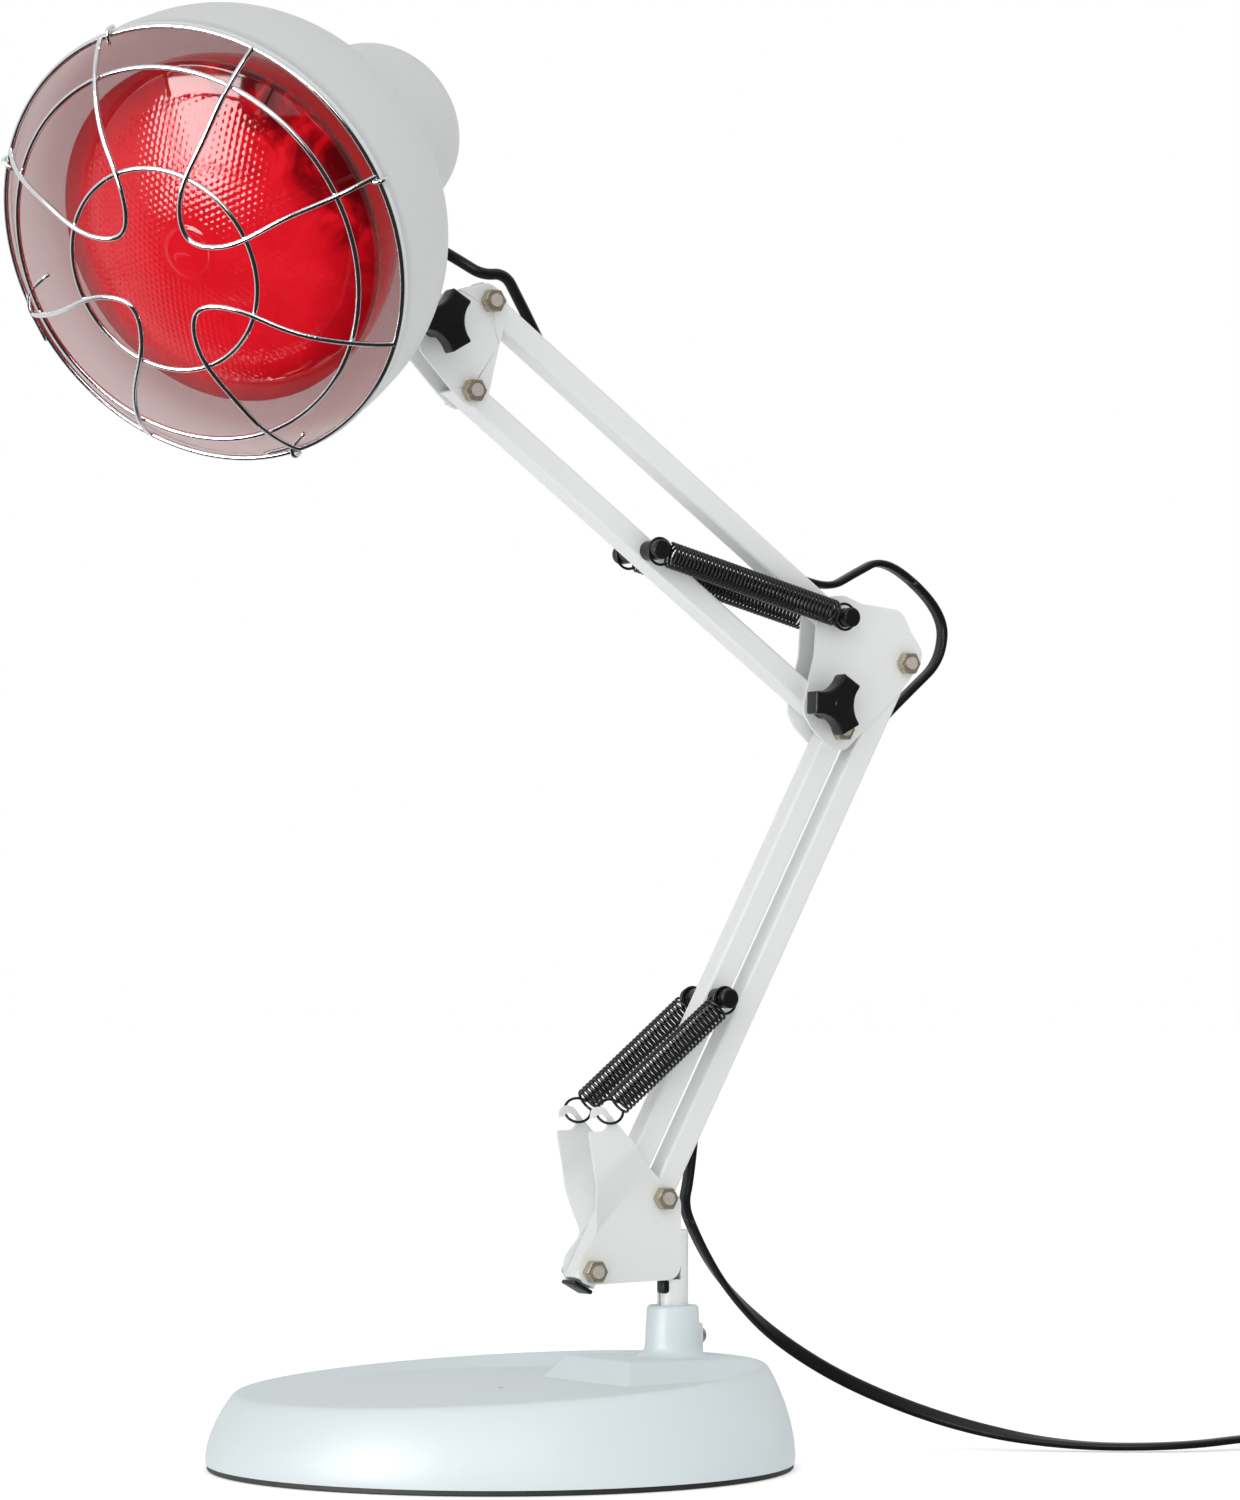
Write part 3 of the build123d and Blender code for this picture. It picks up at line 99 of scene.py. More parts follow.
rays = tree.nodes.new("ShaderNodeLightPath")
lit = glow((-0.48, -0.52, 0.71), -1.0, 1.0, 0.36, 0.98)
mirrored = glow((0.10, 0.75, 0.66), -0.30, 0.25, 0.03, 1.0)
seen = tree.nodes.new("ShaderNodeBackground")
seen.inputs["Color"].default_value = (1, 1, 1, 1)
gloss_or_not = tree.nodes.new("ShaderNodeMixShader")
seen_or_not = tree.nodes.new("ShaderNodeMixShader")
out = tree.nodes.new("ShaderNodeOutputWorld")
tree.links.new(rays.outputs["Is Glossy Ray"], gloss_or_not.inputs[0])
tree.links.new(lit.outputs[0], gloss_or_not.inputs[1])
tree.links.new(mirrored.outputs[0], gloss_or_not.inputs[2])
tree.links.new(rays.outputs["Is Camera Ray"], seen_or_not.inputs[0])
tree.links.new(gloss_or_not.outputs[0], seen_or_not.inputs[1])
tree.links.new(seen.outputs[0], seen_or_not.inputs[2])
tree.links.new(seen_or_not.outputs[0], out.inputs["Surface"])


def soft_panel(name, place, aim, width, height, power, diffuse=True, glossy=True):
    """A rectangular lamp that faces a point, unseen by the camera."""
    lamp = bpy.data.lights.new(name, "AREA")
    lamp.shape = "RECTANGLE"
    lamp.size, lamp.size_y = width, height
    lamp.energy = power
    panel = bpy.data.objects.new(name, lamp)
    scene.collection.objects.link(panel)
    panel.location = place
    panel.rotation_euler = (Vector(place) - Vector(aim)).to_track_quat("Z", "Y").to_euler()
    panel.visible_camera = False
    panel.visible_diffuse = diffuse
    panel.visible_glossy = glossy


soft_panel("key_panel", (-1.5, -1.7, 1.5), (0.0, 0.0, 0.25), 1.6, 1.6, 9.0)
soft_panel("low_fill", (-1.7, -1.2, 0.25), (-0.15, -0.05, 0.43), 1.2, 0.5, 3.2, glossy=False)
soft_panel("bulb_panel", (-1.64, -0.25, 0.51), (-0.15, -0.05, 0.44), 0.9, 1.2, 42.0, diffuse=False)
soft_panel("wire_panel", (-0.9, -1.9, 1.2), (-0.15, -0.05, 0.43), 0.5, 0.9, 6.0, diffuse=False)

camera = bpy.data.objects.new("camera", bpy.data.cameras.new("camera"))
scene.collection.objects.link(camera)
camera.data.sensor_fit = "HORIZONTAL"
camera.data.sensor_width = 36.0
camera.data.lens = 145.16
camera.data.clip_end = 100.0
camera.location = (-0.9460, -1.5858, 0.1768)
camera.rotation_euler = Vector((-0.532, -0.8455, -0.0469)).to_track_quat("Z", "Y").to_euler()
scene.camera = camera
scene.view_settings.view_transform = "Standard"

# ---------------------------------------------------------------- finishes of the solids
# Powder coat on the sheet and tube, a moulded shell, plated screws, black plastic, vinyl and
# blackened steel. Every finish is a little cloudy and has a fine grain of its own.


def skin_group():
    """Cloudy colour, gloss that varies and a fine relief, for every coat and moulding."""
    group = bpy.data.node_groups.new("skin", "ShaderNodeTree")
    sockets = group.interface
    for name, kind in (
        ("Colour", "NodeSocketColor"),
        ("Deeper Colour", "NodeSocketColor"),
        ("Cloud Scale", "NodeSocketFloat"),
        ("Grain Scale", "NodeSocketFloat"),
        ("Gloss", "NodeSocketFloat"),
        ("Gloss Spread", "NodeSocketFloat"),
    ):
        sockets.new_socket(name=name, in_out="INPUT", socket_type=kind)
    sockets.new_socket(name="Colour", in_out="OUTPUT", socket_type="NodeSocketColor")
    sockets.new_socket(name="Roughness", in_out="OUTPUT", socket_type="NodeSocketFloat")
    sockets.new_socket(name="Height", in_out="OUTPUT", socket_type="NodeSocketFloat")
    make, link = group.nodes.new, group.links.new
    given = make("NodeGroupInput")
    result = make("NodeGroupOutput")
    place = make("ShaderNodeTexCoord")
    clouds = make("ShaderNodeTexNoise")
    clouds.inputs["Detail"].default_value = 3.0
    grain = make("ShaderNodeTexNoise")
    grain.inputs["Detail"].default_value = 2.0
    tint = make("ShaderNodeMix")
    tint.data_type = "RGBA"
    swing = make("ShaderNodeMath")
    swing.operation = "SUBTRACT"
    swing.inputs[1].default_value = 0.5
    rough = make("ShaderNodeMath")
    rough.operation = "MULTIPLY_ADD"
    link(place.outputs["Object"], clouds.inputs["Vector"])
    link(place.outputs["Object"], grain.inputs["Vector"])
    link(given.outputs["Cloud Scale"], clouds.inputs["Scale"])
    link(given.outputs["Grain Scale"], grain.inputs["Scale"])
    link(clouds.outputs["Fac"], tint.inputs["Factor"])
    link(given.outputs["Colour"], tint.inputs["A"])
    link(given.outputs["Deeper Colour"], tint.inputs["B"])
    link(clouds.outputs["Fac"], swing.inputs[0])
    link(swing.outputs[0], rough.inputs[0])
    link(given.outputs["Gloss Spread"], rough.inputs[1])
    link(given.outputs["Gloss"], rough.inputs[2])
    link(tint.outputs["Result"], result.inputs["Colour"])
    link(rough.outputs[0], result.inputs["Roughness"])
    link(grain.outputs["Fac"], result.inputs["Height"])
    return group


skin = skin_group()


def lamp_finish(name, colour, deeper, clouds, grain, gloss, spread, relief, **shading):
    """A finish of this lamp; shading sets the shader's own sockets."""
    finish = bpy.data.materials.new(name)
    finish.use_nodes = True
    tree = finish.node_tree
    shader = tree.nodes["Principled BSDF"]
    body = tree.nodes.new("ShaderNodeGroup")
    body.node_tree = skin
    body.inputs["Colour"].default_value = (*colour, 1)
    body.inputs["Deeper Colour"].default_value = (*deeper, 1)
    body.inputs["Cloud Scale"].default_value = clouds
    body.inputs["Grain Scale"].default_value = grain
    body.inputs["Gloss"].default_value = gloss
    body.inputs["Gloss Spread"].default_value = spread
    bump = tree.nodes.new("ShaderNodeBump")
    bump.inputs["Strength"].default_value = 1.0
    bump.inputs["Distance"].default_value = relief
    tree.links.new(body.outputs["Colour"], shader.inputs["Base Color"])
    tree.links.new(body.outputs["Roughness"], shader.inputs["Roughness"])
    tree.links.new(body.outputs["Height"], bump.inputs["Height"])
    tree.links.new(bump.outputs["Normal"], shader.inputs["Normal"])
    for socket, value in shading.items():
        shader.inputs[socket.replace("_", " ")].default_value = value
    return finish


base_coat = lamp_finish(
    "base_coat", (0.750, 0.828, 0.842), (0.730, 0.812, 0.826), 14, 1500, 0.44, 0.05, 0.00002
)
arm_coat = lamp_finish(
    "arm_coat", (0.860, 0.875, 0.868), (0.840, 0.858, 0.850), 18, 2200, 0.32, 0.06, 0.000012
)
shade_coat = lamp_finish(
    "shade_coat", (0.700, 0.712, 0.712), (0.685, 0.698, 0.698), 16, 1800, 0.36, 0.05, 0.000012,
    Specular_IOR_Level=0.3,
)
iron = lamp_finish(
    "cast_iron", (0.05, 0.05, 0.052), (0.09, 0.085, 0.08), 60, 900, 0.62, 0.2, 0.0002, Metallic=0.6
)
sheet_zinc = lamp_finish(
    "zinc_sheet", (0.55, 0.56, 0.57), (0.42, 0.43, 0.44), 40, 700, 0.38, 0.2, 0.00003, Metallic=1.0
)
plating = lamp_finish(
    "zinc_plating", (0.60, 0.54, 0.42), (0.30, 0.25, 0.17), 420, 3000, 0.26, 0.16, 0.00002, Metallic=0.55
)
bright_zinc = lamp_finish(
    "bright_zinc", (0.84, 0.78, 0.72), (0.62, 0.54, 0.46), 380, 3000, 0.28, 0.16, 0.00002, Metallic=0.35
)
blackened = lamp_finish(
    "blackened_steel", (0.006, 0.006, 0.0065), (0.014, 0.014, 0.015), 300, 2600, 0.30, 0.16, 0.00003,
    Specular_IOR_Level=0.4,
)
nylon = lamp_finish(
    "nylon", (0.70, 0.70, 0.66), (0.64, 0.64, 0.60), 60, 1500, 0.45, 0.1, 0.00003
)
bakelite = lamp_finish(
    "black_moulding", (0.007, 0.007, 0.0075), (0.012, 0.012, 0.013), 120, 1900, 0.36, 0.12, 0.00005,
    Specular_IOR_Level=0.35,
)
vinyl = lamp_finish(
    "cord_vinyl", (0.007, 0.007, 0.0075), (0.012, 0.012, 0.013), 90, 2600, 0.30, 0.14, 0.00003,
    Specular_IOR_Level=0.34,
)
rubber = lamp_finish(
    "rubber", (0.022, 0.023, 0.025), (0.035, 0.036, 0.038), 160, 1400, 0.62, 0.12, 0.0001
)
china = lamp_finish(
    "porcelain", (0.80, 0.78, 0.72), (0.74, 0.72, 0.66), 50, 800, 0.18, 0.06, 0.00003
)
nickel = lamp_finish(
    "nickel", (0.70, 0.67, 0.60), (0.60, 0.57, 0.50), 200, 2400, 0.22, 0.1, 0.00001, Metallic=1.0
)
sharp_from = radians(38)


def dress(names, finish, edge):
    """Gives solids their finish; an edge above zero rounds their sharp corners by that much."""
    for name in names.split():
        solid = nodes[name]
        mesh = solid.data
        mesh.materials.clear()
        mesh.materials.append(finish)
        if "custom_normal" in mesh.attributes:
            mesh.attributes.remove(mesh.attributes["custom_normal"])
        mesh.polygons.foreach_set("use_smooth", [edge > 0] * len(mesh.polygons))
        if not edge:
            continue
        weld = solid.modifiers.new("weld", "WELD")
        weld.merge_threshold = 0.00001
        soft = solid.modifiers.new("soft_edges", "BEVEL")
        soft.width = edge
        soft.segments = 2
        soft.limit_method = "ANGLE"
        soft.angle_limit = sharp_from
        even = solid.modifiers.new("even_shading", "WEIGHTED_NORMAL")
        even.weight = 80
        even.keep_sharp = True


dress("base_weight", iron, 0.0006)
dress("base_cover", sheet_zinc, 0.0003)
dress("foot_pad cord_grommet", rubber, 0.0003)
dress("cover_screws clamp_screw elbow_knob_bolt", plating, 0.0003)
dress("head_knob_bolt holder_screws swivel_nut rocker_pin", plating, 0.0003)
dress("lower_bolts elbow_bolts head_bolts", bright_zinc, 0.0003)
dress("lower_nuts elbow_nuts head_nuts", plating, 0.0005)
dress("column_bush", nylon, 0.0002)
dress("lower_bracket elbow_plates head_plates", arm_coat, 0.00025)
dress("right_bar left_bar boom_upper boom_lower neck", arm_coat, 0)
dress("lower_spring_post upper_spring_post elbow_spring_stud", blackened, 0.0003)
dress("lamp_cap", shade_coat, 0.0004)
dress("lampholder", china, 0.0006)
dress("bulb_cap bulb_contact plug_pins", nickel, 0.0003)
dress("cord_in_lower_bar cord_in_boom cord_in_cap cord_head", vinyl, 0.0002)
dress("switch_base switch_cover switch_rocker plug_body", bakelite, 0.0005)

# ---------------------------------------------------------------- base shell
# One injection moulding with a round skirt. Its top is cut at a slant; a tray with a level
# floor is sunk into it, and a block at the tray's right end carries the column's boss.
MM = 0.001
foot_height = 2.0
rim_radius, rim_height = 96.4, 32.66
rim_rise, rim_roll = 0.0531, -0.0120
tray_radius, tray_height, tray_rise = 86.0, 28.9, 0.020
top_step = 0.9
skirt = [(107.9, foot_height), (108.2, 4.5), (107.7, 9.5), (106.4, 15.0), (104.6, 20.0), (102.4, 25.0)]
skirt += [(100.3, 28.8), (99.2, 30.6), (98.2, 31.9), (97.3, 32.5), (rim_radius, rim_height)]


def smooth_step(value, low, high):
    """Eased share of the way from low to high."""
    share = min(1, max(0, (value - low) / (high - low)))
    return share * share * (3 - 2 * share)


def top_height(x, y):
    """Height of the moulding's upper side inside the rim."""
    radius = hypot(x, y)
    rim = rim_height + rim_rise * x + rim_roll * y
    floor = tray_height + tray_rise * x
    if rim < floor + 0.3:
        floor = rim - 0.3
    down = min(1, max(0, (rim_radius - radius) / (rim_radius - tray_radius)))
    return rim + (floor - rim) * (down + 0.5 * smooth_step(down, 0, 1)) / 1.5


def piece_from(bm, name, finish):
    """Finishes a bmesh as an object with outward faces."""
    bmesh.ops.remove_doubles(bm, verts=bm.verts, dist=0.000002)
    bmesh.ops.recalc_face_normals(bm, faces=bm.faces)
    mesh = bpy.data.meshes.new(name)
    bm.to_mesh(mesh)
    bm.free()
    mesh.polygons.foreach_set("use_smooth", [True] * len(mesh.polygons))
    mesh.materials.append(finish)
    piece = bpy.data.objects.new(name, mesh)
    scene.collection.objects.link(piece)
    return piece


def spun(bm, outline, steps, centre=0.0, closed=False):
    """Turns an outline of (radius, height) about an upright axis; all in millimetres."""
    points = [bm.verts.new(((centre + radius) * MM, 0, height * MM)) for radius, height in outline]
    edges = [bm.edges.new(pair) for pair in zip(points, points[1:])]
    if closed:
        edges.append(bm.edges.new((points[-1], points[0])))
    bmesh.ops.spin(
        bm, geom=points + edges, cent=(centre * MM, 0, 0), axis=(0, 0, 1), angle=2 * pi, steps=steps,
        use_merge=True,
    )


bm = bmesh.new()
inward = [(rim_radius - top_step * step, rim_height) for step in range(1, 107)]
spun(bm, skirt + inward, 420)
bmesh.ops.remove_doubles(bm, verts=bm.verts, dist=0.000002)
for vertex in bm.verts:
    x, y, z = vertex.co / MM
    if hypot(x, y) > rim_radius - 0.1:
        share = max(0, z - foot_height) / (rim_height - foot_height)
        vertex.co.z += (rim_rise * x + rim_roll * y) * share * MM
    else:
        vertex.co.z = top_height(x, y) * MM
base_shell = piece_from(bm, "base_moulding", base_coat)
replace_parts(base_shell, "base_shell")
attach(base_shell, "base")

# The block is a frustum: (left, half width), (right, half width), height at its foot and top.
block_foot = ((34.8, 31.6), (93.0, 33.5), (27.8, 27.8))
block_top = ((41.4, 22.0), (93.0, 21.0), (38.2, 37.3))
bm = bmesh.new()
for (left, left_half), (right, right_half), (left_height, right_height) in (block_foot, block_top):
    corners = [(left, -left_half, left_height), (right, -right_half, right_height)]
    corners += [(right, right_half, right_height), (left, left_half, left_height)]
    bm.faces.new([bm.verts.new(Vector(corner) * MM) for corner in corners])
bmesh.ops.bridge_loops(bm, edges=bm.edges[:])
bmesh.ops.bevel(
    bm, geom=bm.edges, offset=1.1 * MM, segments=3, profile=0.5, affect="EDGES", material=-1
)
column_block = piece_from(bm, "column_block", base_coat)
even = column_block.modifiers.new("even_shading", "WEIGHTED_NORMAL")
even.weight = 80
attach(column_block, "base")

column_x = 75.2
boss_outline = [(15.5, 37.0), (12.6, 38.3), (11.2, 39.4), (10.6, 41.2), (10.4, 43.5), (9.75, 55.4)]
boss_outline += [(9.5, 56.2), (8.9, 56.7), (6.3, 56.7), (6.1, 56.3), (6.05, 44.0)]
bm = bmesh.new()
spun(bm, boss_outline, 96, column_x)
boss = piece_from(bm, "column_boss", base_coat)
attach(boss, "base")


def soft_block(name, size, edge, segments, place, finish, turned=Matrix.Identity(4)):
    """A small moulded block with rounded edges, centred on a place; all in millimetres."""
    bm = bmesh.new()
    bmesh.ops.create_cube(bm, size=1, matrix=Matrix.Diagonal((*(Vector(size) * MM), 1)))
    bmesh.ops.bevel(
        bm, geom=bm.edges, offset=edge * MM, segments=segments, profile=0.5, affect="EDGES", material=-1
    )
    bmesh.ops.transform(bm, matrix=Matrix.Translation(Vector(place) * MM) @ turned, verts=bm.verts)
    return piece_from(bm, name, finish)


clamp_pad = soft_block(
    "clamp_pad", (8.0, 7.6, 12.6), 1.3, 4, (column_x + 7.75, 0, 43.6), base_coat
)
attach(clamp_pad, "base")

# ---------------------------------------------------------------- end plug and painted shade
# A black plastic plug, pressed in, closes the lower end of the left bar and stands out a little.
# A small black block under the fold at the top of the column is painted shade for the shaded slot there.
bar_ahead = Vector((0.4806, 0, 0.8769))
lower_back_pivot = Vector((36.13, 0, 70.56))
bar_end = lower_back_pivot - bar_ahead * 6.6
along_bar = bar_ahead.to_track_quat("Z", "Y").to_matrix().to_4x4()
bar_plug = soft_block(
    "left_bar_plug", (9.1, 9.1, 1.6), 0.5, 2, bar_end, bakelite, along_bar
)
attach(bar_plug, "left_arm")
column_fold_shade_patch = soft_block(
    "column_fold_shade_patch", (3.6, 5.4, 5.4), 1.2, 3, (70.3, -1.4, 63.9), bakelite
)
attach(column_fold_shade_patch, "column")

# ---------------------------------------------------------------- balance springs
# Close-wound extension springs of blackened wire, one on each side of each arm, with a
# round eye at each end that hangs on a notch of the bracket or in the groove of a post.
spring_wire = 0.54 * MM
spring_mean = 4.6 * MM
eye_mean = 5.0 * MM


def wire_ring(bm, middle, axis, outward, radius, wire, sweep, steps, climb=0):
    """Adds a round wire bent about an axis, from a section that lies outward of the middle."""
    axis, outward = axis.normalized(), outward.normalized()
    turned = Matrix((outward, axis, outward.cross(axis))).transposed().to_4x4()
    section = Matrix.Translation(middle + outward * radius) @ turned
    made = bmesh.ops.create_circle(bm, cap_ends=False, segments=8, radius=wire, matrix=section)
    loop = [edge for edge in bm.edges if all(v in set(made["verts"]) for v in edge.verts)]
    shift = axis * climb / steps
    bmesh.ops.spin(
        bm, geom=made["verts"] + loop, cent=middle, axis=axis, dvec=shift, angle=sweep, steps=steps,
        use_merge=not climb and abs(sweep - 2 * pi) < 0.001,
    )


def spring(name, first, second, side, first_turn, turns):
    """One spring between two eye centres of the arm's side, in millimetres."""
    start = Vector((first[0], side, first[1])) * MM
    end = Vector((second[0], side, second[1])) * MM
    ahead = (end - start).normalized()
    above = Vector((-ahead.z, 0, ahead.x))
    lean = radians(first_turn)
    eye_normal = ahead.cross(above * cos(lean) + Vector((0, 1, 0)) * sin(lean))
    bm = bmesh.new()
    inset = eye_mean - 0.6 * MM
    coils = (end - start).length - 2 * inset
    wire_ring(
        bm, start + ahead * inset, ahead, above, spring_mean, spring_wire,
        2 * pi * turns, 18 * turns, coils,
    )
    wire_ring(bm, start, eye_normal, ahead, eye_mean, spring_wire, radians(318), 44)
    wire_ring(bm, end, Vector((0, 1, 0)), -ahead, eye_mean, spring_wire, 2 * pi, 48)
    return piece_from(bm, name, blackened)


lower_hook, lower_stud = (40.2, 129.9), (91.43, 170.88)
upper_stud, elbow_stud = (62.55, 339.18), (146.60, 317.90)
for word, side in (("near", -11.2), ("far", 11.2)):
    lower_spring = spring("lower_spring_" + word, lower_hook, lower_stud, side, 37, 30)
    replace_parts(lower_spring, "lower_springs")
    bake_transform(lower_spring)
    upper_spring = spring("upper_spring_" + word, upper_stud, elbow_stud, side, 0, 46)
    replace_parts(upper_spring, "upper_springs")
    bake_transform(upper_spring)

# ---------------------------------------------------------------- clamping knobs
# Black moulded hand knobs with three flat-ended lobes and hollow sides, each on a round hub
# that is moulded over the head of its clamping bolt.
knob_reach, knob_hollow, hollow_centre = 11.6, 10.4, 16.9
knob_thickness, knob_seat = 7.4, -11.35
hub_radius, hub_length = 5.2, 6.0


def knob(name, place, first_lobe, body):
    """A knob on the near end of a pivot bolt; first_lobe is its angle in degrees."""
    bm = bmesh.new()
    made = bmesh.ops.create_circle(bm, cap_ends=True, segments=108, radius=1.0)
    for vertex in made["verts"]:
        turn = atan2(vertex.co.y, vertex.co.x)
        lobe = (turn + pi / 3) % (2 * pi / 3) - pi / 3
        flat = (knob_reach - 0.5) / cos(lobe) - 3.2 * max(0, abs(lobe) - 0.42)
        beside = pi / 3 - abs(lobe)
        under = knob_hollow**2 - (hollow_centre * sin(beside)) ** 2
        hollow = hollow_centre * cos(beside) - sqrt(under) if under > 0 else 99
        vertex.co = vertex.co.normalized() * min(flat, hollow) * MM
    face = bm.faces[:][0]
    outline = bmesh.ops.extrude_face_region(bm, geom=[face])
    raised = [item for item in outline["geom"] if isinstance(item, bmesh.types.BMVert)]
    bmesh.ops.translate(bm, verts=raised, vec=(0, 0, knob_thickness * MM))
    rims = [edge for edge in bm.edges if abs(edge.verts[0].co.z - edge.verts[1].co.z) < 0.00001]
    bmesh.ops.bevel(bm, geom=rims, offset=1.0 * MM, segments=4, profile=0.5, affect="EDGES", material=-1)
    hub = bmesh.ops.create_cone(
        bm, cap_ends=True, segments=40, radius1=hub_radius * MM, radius2=hub_radius * MM,
        depth=hub_length * MM,
    )
    bmesh.ops.translate(bm, verts=hub["verts"], vec=(0, 0, -2.4 * MM))
    button = bmesh.ops.create_cone(
        bm, cap_ends=True, segments=40, radius1=2.6 * MM, radius2=2.3 * MM, depth=0.5 * MM
    )
    bmesh.ops.translate(bm, verts=button["verts"], vec=(0, 0, (knob_thickness + 0.1) * MM))
    facing = Matrix.Rotation(pi / 2, 4, "X") @ Matrix.Rotation(radians(first_lobe), 4, "Z")
    bmesh.ops.transform(bm, matrix=facing, verts=bm.verts)
    bmesh.ops.translate(bm, verts=bm.verts, vec=Vector((place[0], knob_seat, place[1])) * MM)
    piece = piece_from(bm, name, bakelite)
    crisp = piece.modifiers.new("crisp_edges", "EDGE_SPLIT")
    crisp.split_angle = radians(40)
    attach(piece, body)
    return piece


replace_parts(knob("elbow_hand_knob", (139.64, 283.87), 178, "elbow_clamp"), "elbow_knob")
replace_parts(knob("head_hand_knob", (-33.0, 419.0), 60, "head_clamp"), "head_knob")

# ---------------------------------------------------------------- shade and cap
# Spun steel shade with a rolled rim, enamelled white inside and out, and the deep-drawn cap
# that is welded to it and houses the lampholder.
shade_turn = Matrix(
    ((-0.495459, 0.379420, 0.781387), (0.0, -0.899558, 0.436802), (0.868632, 0.216417, 0.445694))
)
mouth = Vector((-0.148165, -0.044990, 0.433898))
shade_place = Matrix.Translation(mouth) @ shade_turn.to_4x4()


def turned_piece(name, outline, steps, finish, closed=True):
    """Spins an outline of (radius, depth) about the shade's axis; depth is from the rim."""
    bm = bmesh.new()
    spun(bm, outline, steps, closed=closed)
    bmesh.ops.transform(bm, matrix=shade_place, verts=bm.verts)
    return piece_from(bm, name, finish)


def arc(middle, radius, start, end, steps):
    """Points of an arc of the outline, its angles in degrees from the radius direction."""
    span = [start + (end - start) * step / steps for step in range(steps + 1)]
    return [(middle[0] + radius * cos(radians(a)), middle[1] + radius * sin(radians(a))) for a in span]


def tangent_arc(start, heading, end, steps):
    """Points of the arc that leaves start along heading and ends at end."""
    dx, dy = end[0] - start[0], end[1] - start[1]
    normal = (-heading[1], heading[0])
    radius = (dx * dx + dy * dy) / (2 * (dx * normal[0] + dy * normal[1]))
    middle = (start[0] + normal[0] * radius, start[1] + normal[1] * radius)
    first = atan2(start[1] - middle[1], start[0] - middle[0])
    last = atan2(end[1] - middle[1], end[0] - middle[0])
    while radius > 0 and last < first:
        last += 2 * pi
    reach = abs(radius)
    turns = [first + (last - first) * step / steps for step in range(steps + 1)]
    return [(middle[0] + reach * cos(turn), middle[1] + reach * sin(turn)) for turn in turns]


slope = Vector((-1.4, 12.0)).normalized()
outer = tangent_arc((78.0, 28.0), slope, (33.5, 74.5), 26)
inner = tangent_arc((77.0, 28.0), slope, (33.5, 73.5), 26)
rolled = arc((79.0, 0.55), 1.2, -250, 60, 14)
shade = turned_piece(
    "shade",
    rolled + [(79.6, 7.0), (79.2, 17.0)] + outer + [(29.0, 74.5), (29.0, 73.5)] + inner[::-1]
    + [(78.2, 17.0), (78.5, 7.0), (78.7, 3.0)],
    180, shade_coat,
)
# Inside, the enamel is painted lighter and warmer than outside and given a small glow: painted light
# that stands for the bulb's red bouncing in the bowl.
shade.data.materials.append(
    lamp_finish(
        "shade_inside_painted_glow", (0.80, 0.77, 0.765), (0.78, 0.75, 0.745), 16, 1800, 0.42, 0.05, 0.000012,
        Specular_IOR_Level=0.3, Emission_Color=(1.0, 0.93, 0.92, 1), Emission_Strength=0.10,
    )
)
to_shade = shade_place.inverted()
# The faces inside the bowl take the lighter enamel with the painted glow.
for face in shade.data.polygons:
    middle = to_shade @ face.center
    outward = to_shade.to_3x3() @ face.normal
    if middle.z > 0.002 and outward.x * middle.x + outward.y * middle.y < 0:
        face.material_index = 1
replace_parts(shade, "shade_shell")
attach(shade, "shade")

# ---------------------------------------------------------------- bulb
# Pressed-glass reflector lamp, red all through, with a stippled lens that is fused to a
# silvered bowl. The middle of the lens has a small bull's eye instead of stipples.
glass = lamp_finish(
    "red_glass", (0.78, 0.002, 0.008), (0.52, 0.001, 0.004), 26, 300, 0.06, 0.04, 0.0,
    IOR=1.5,
)


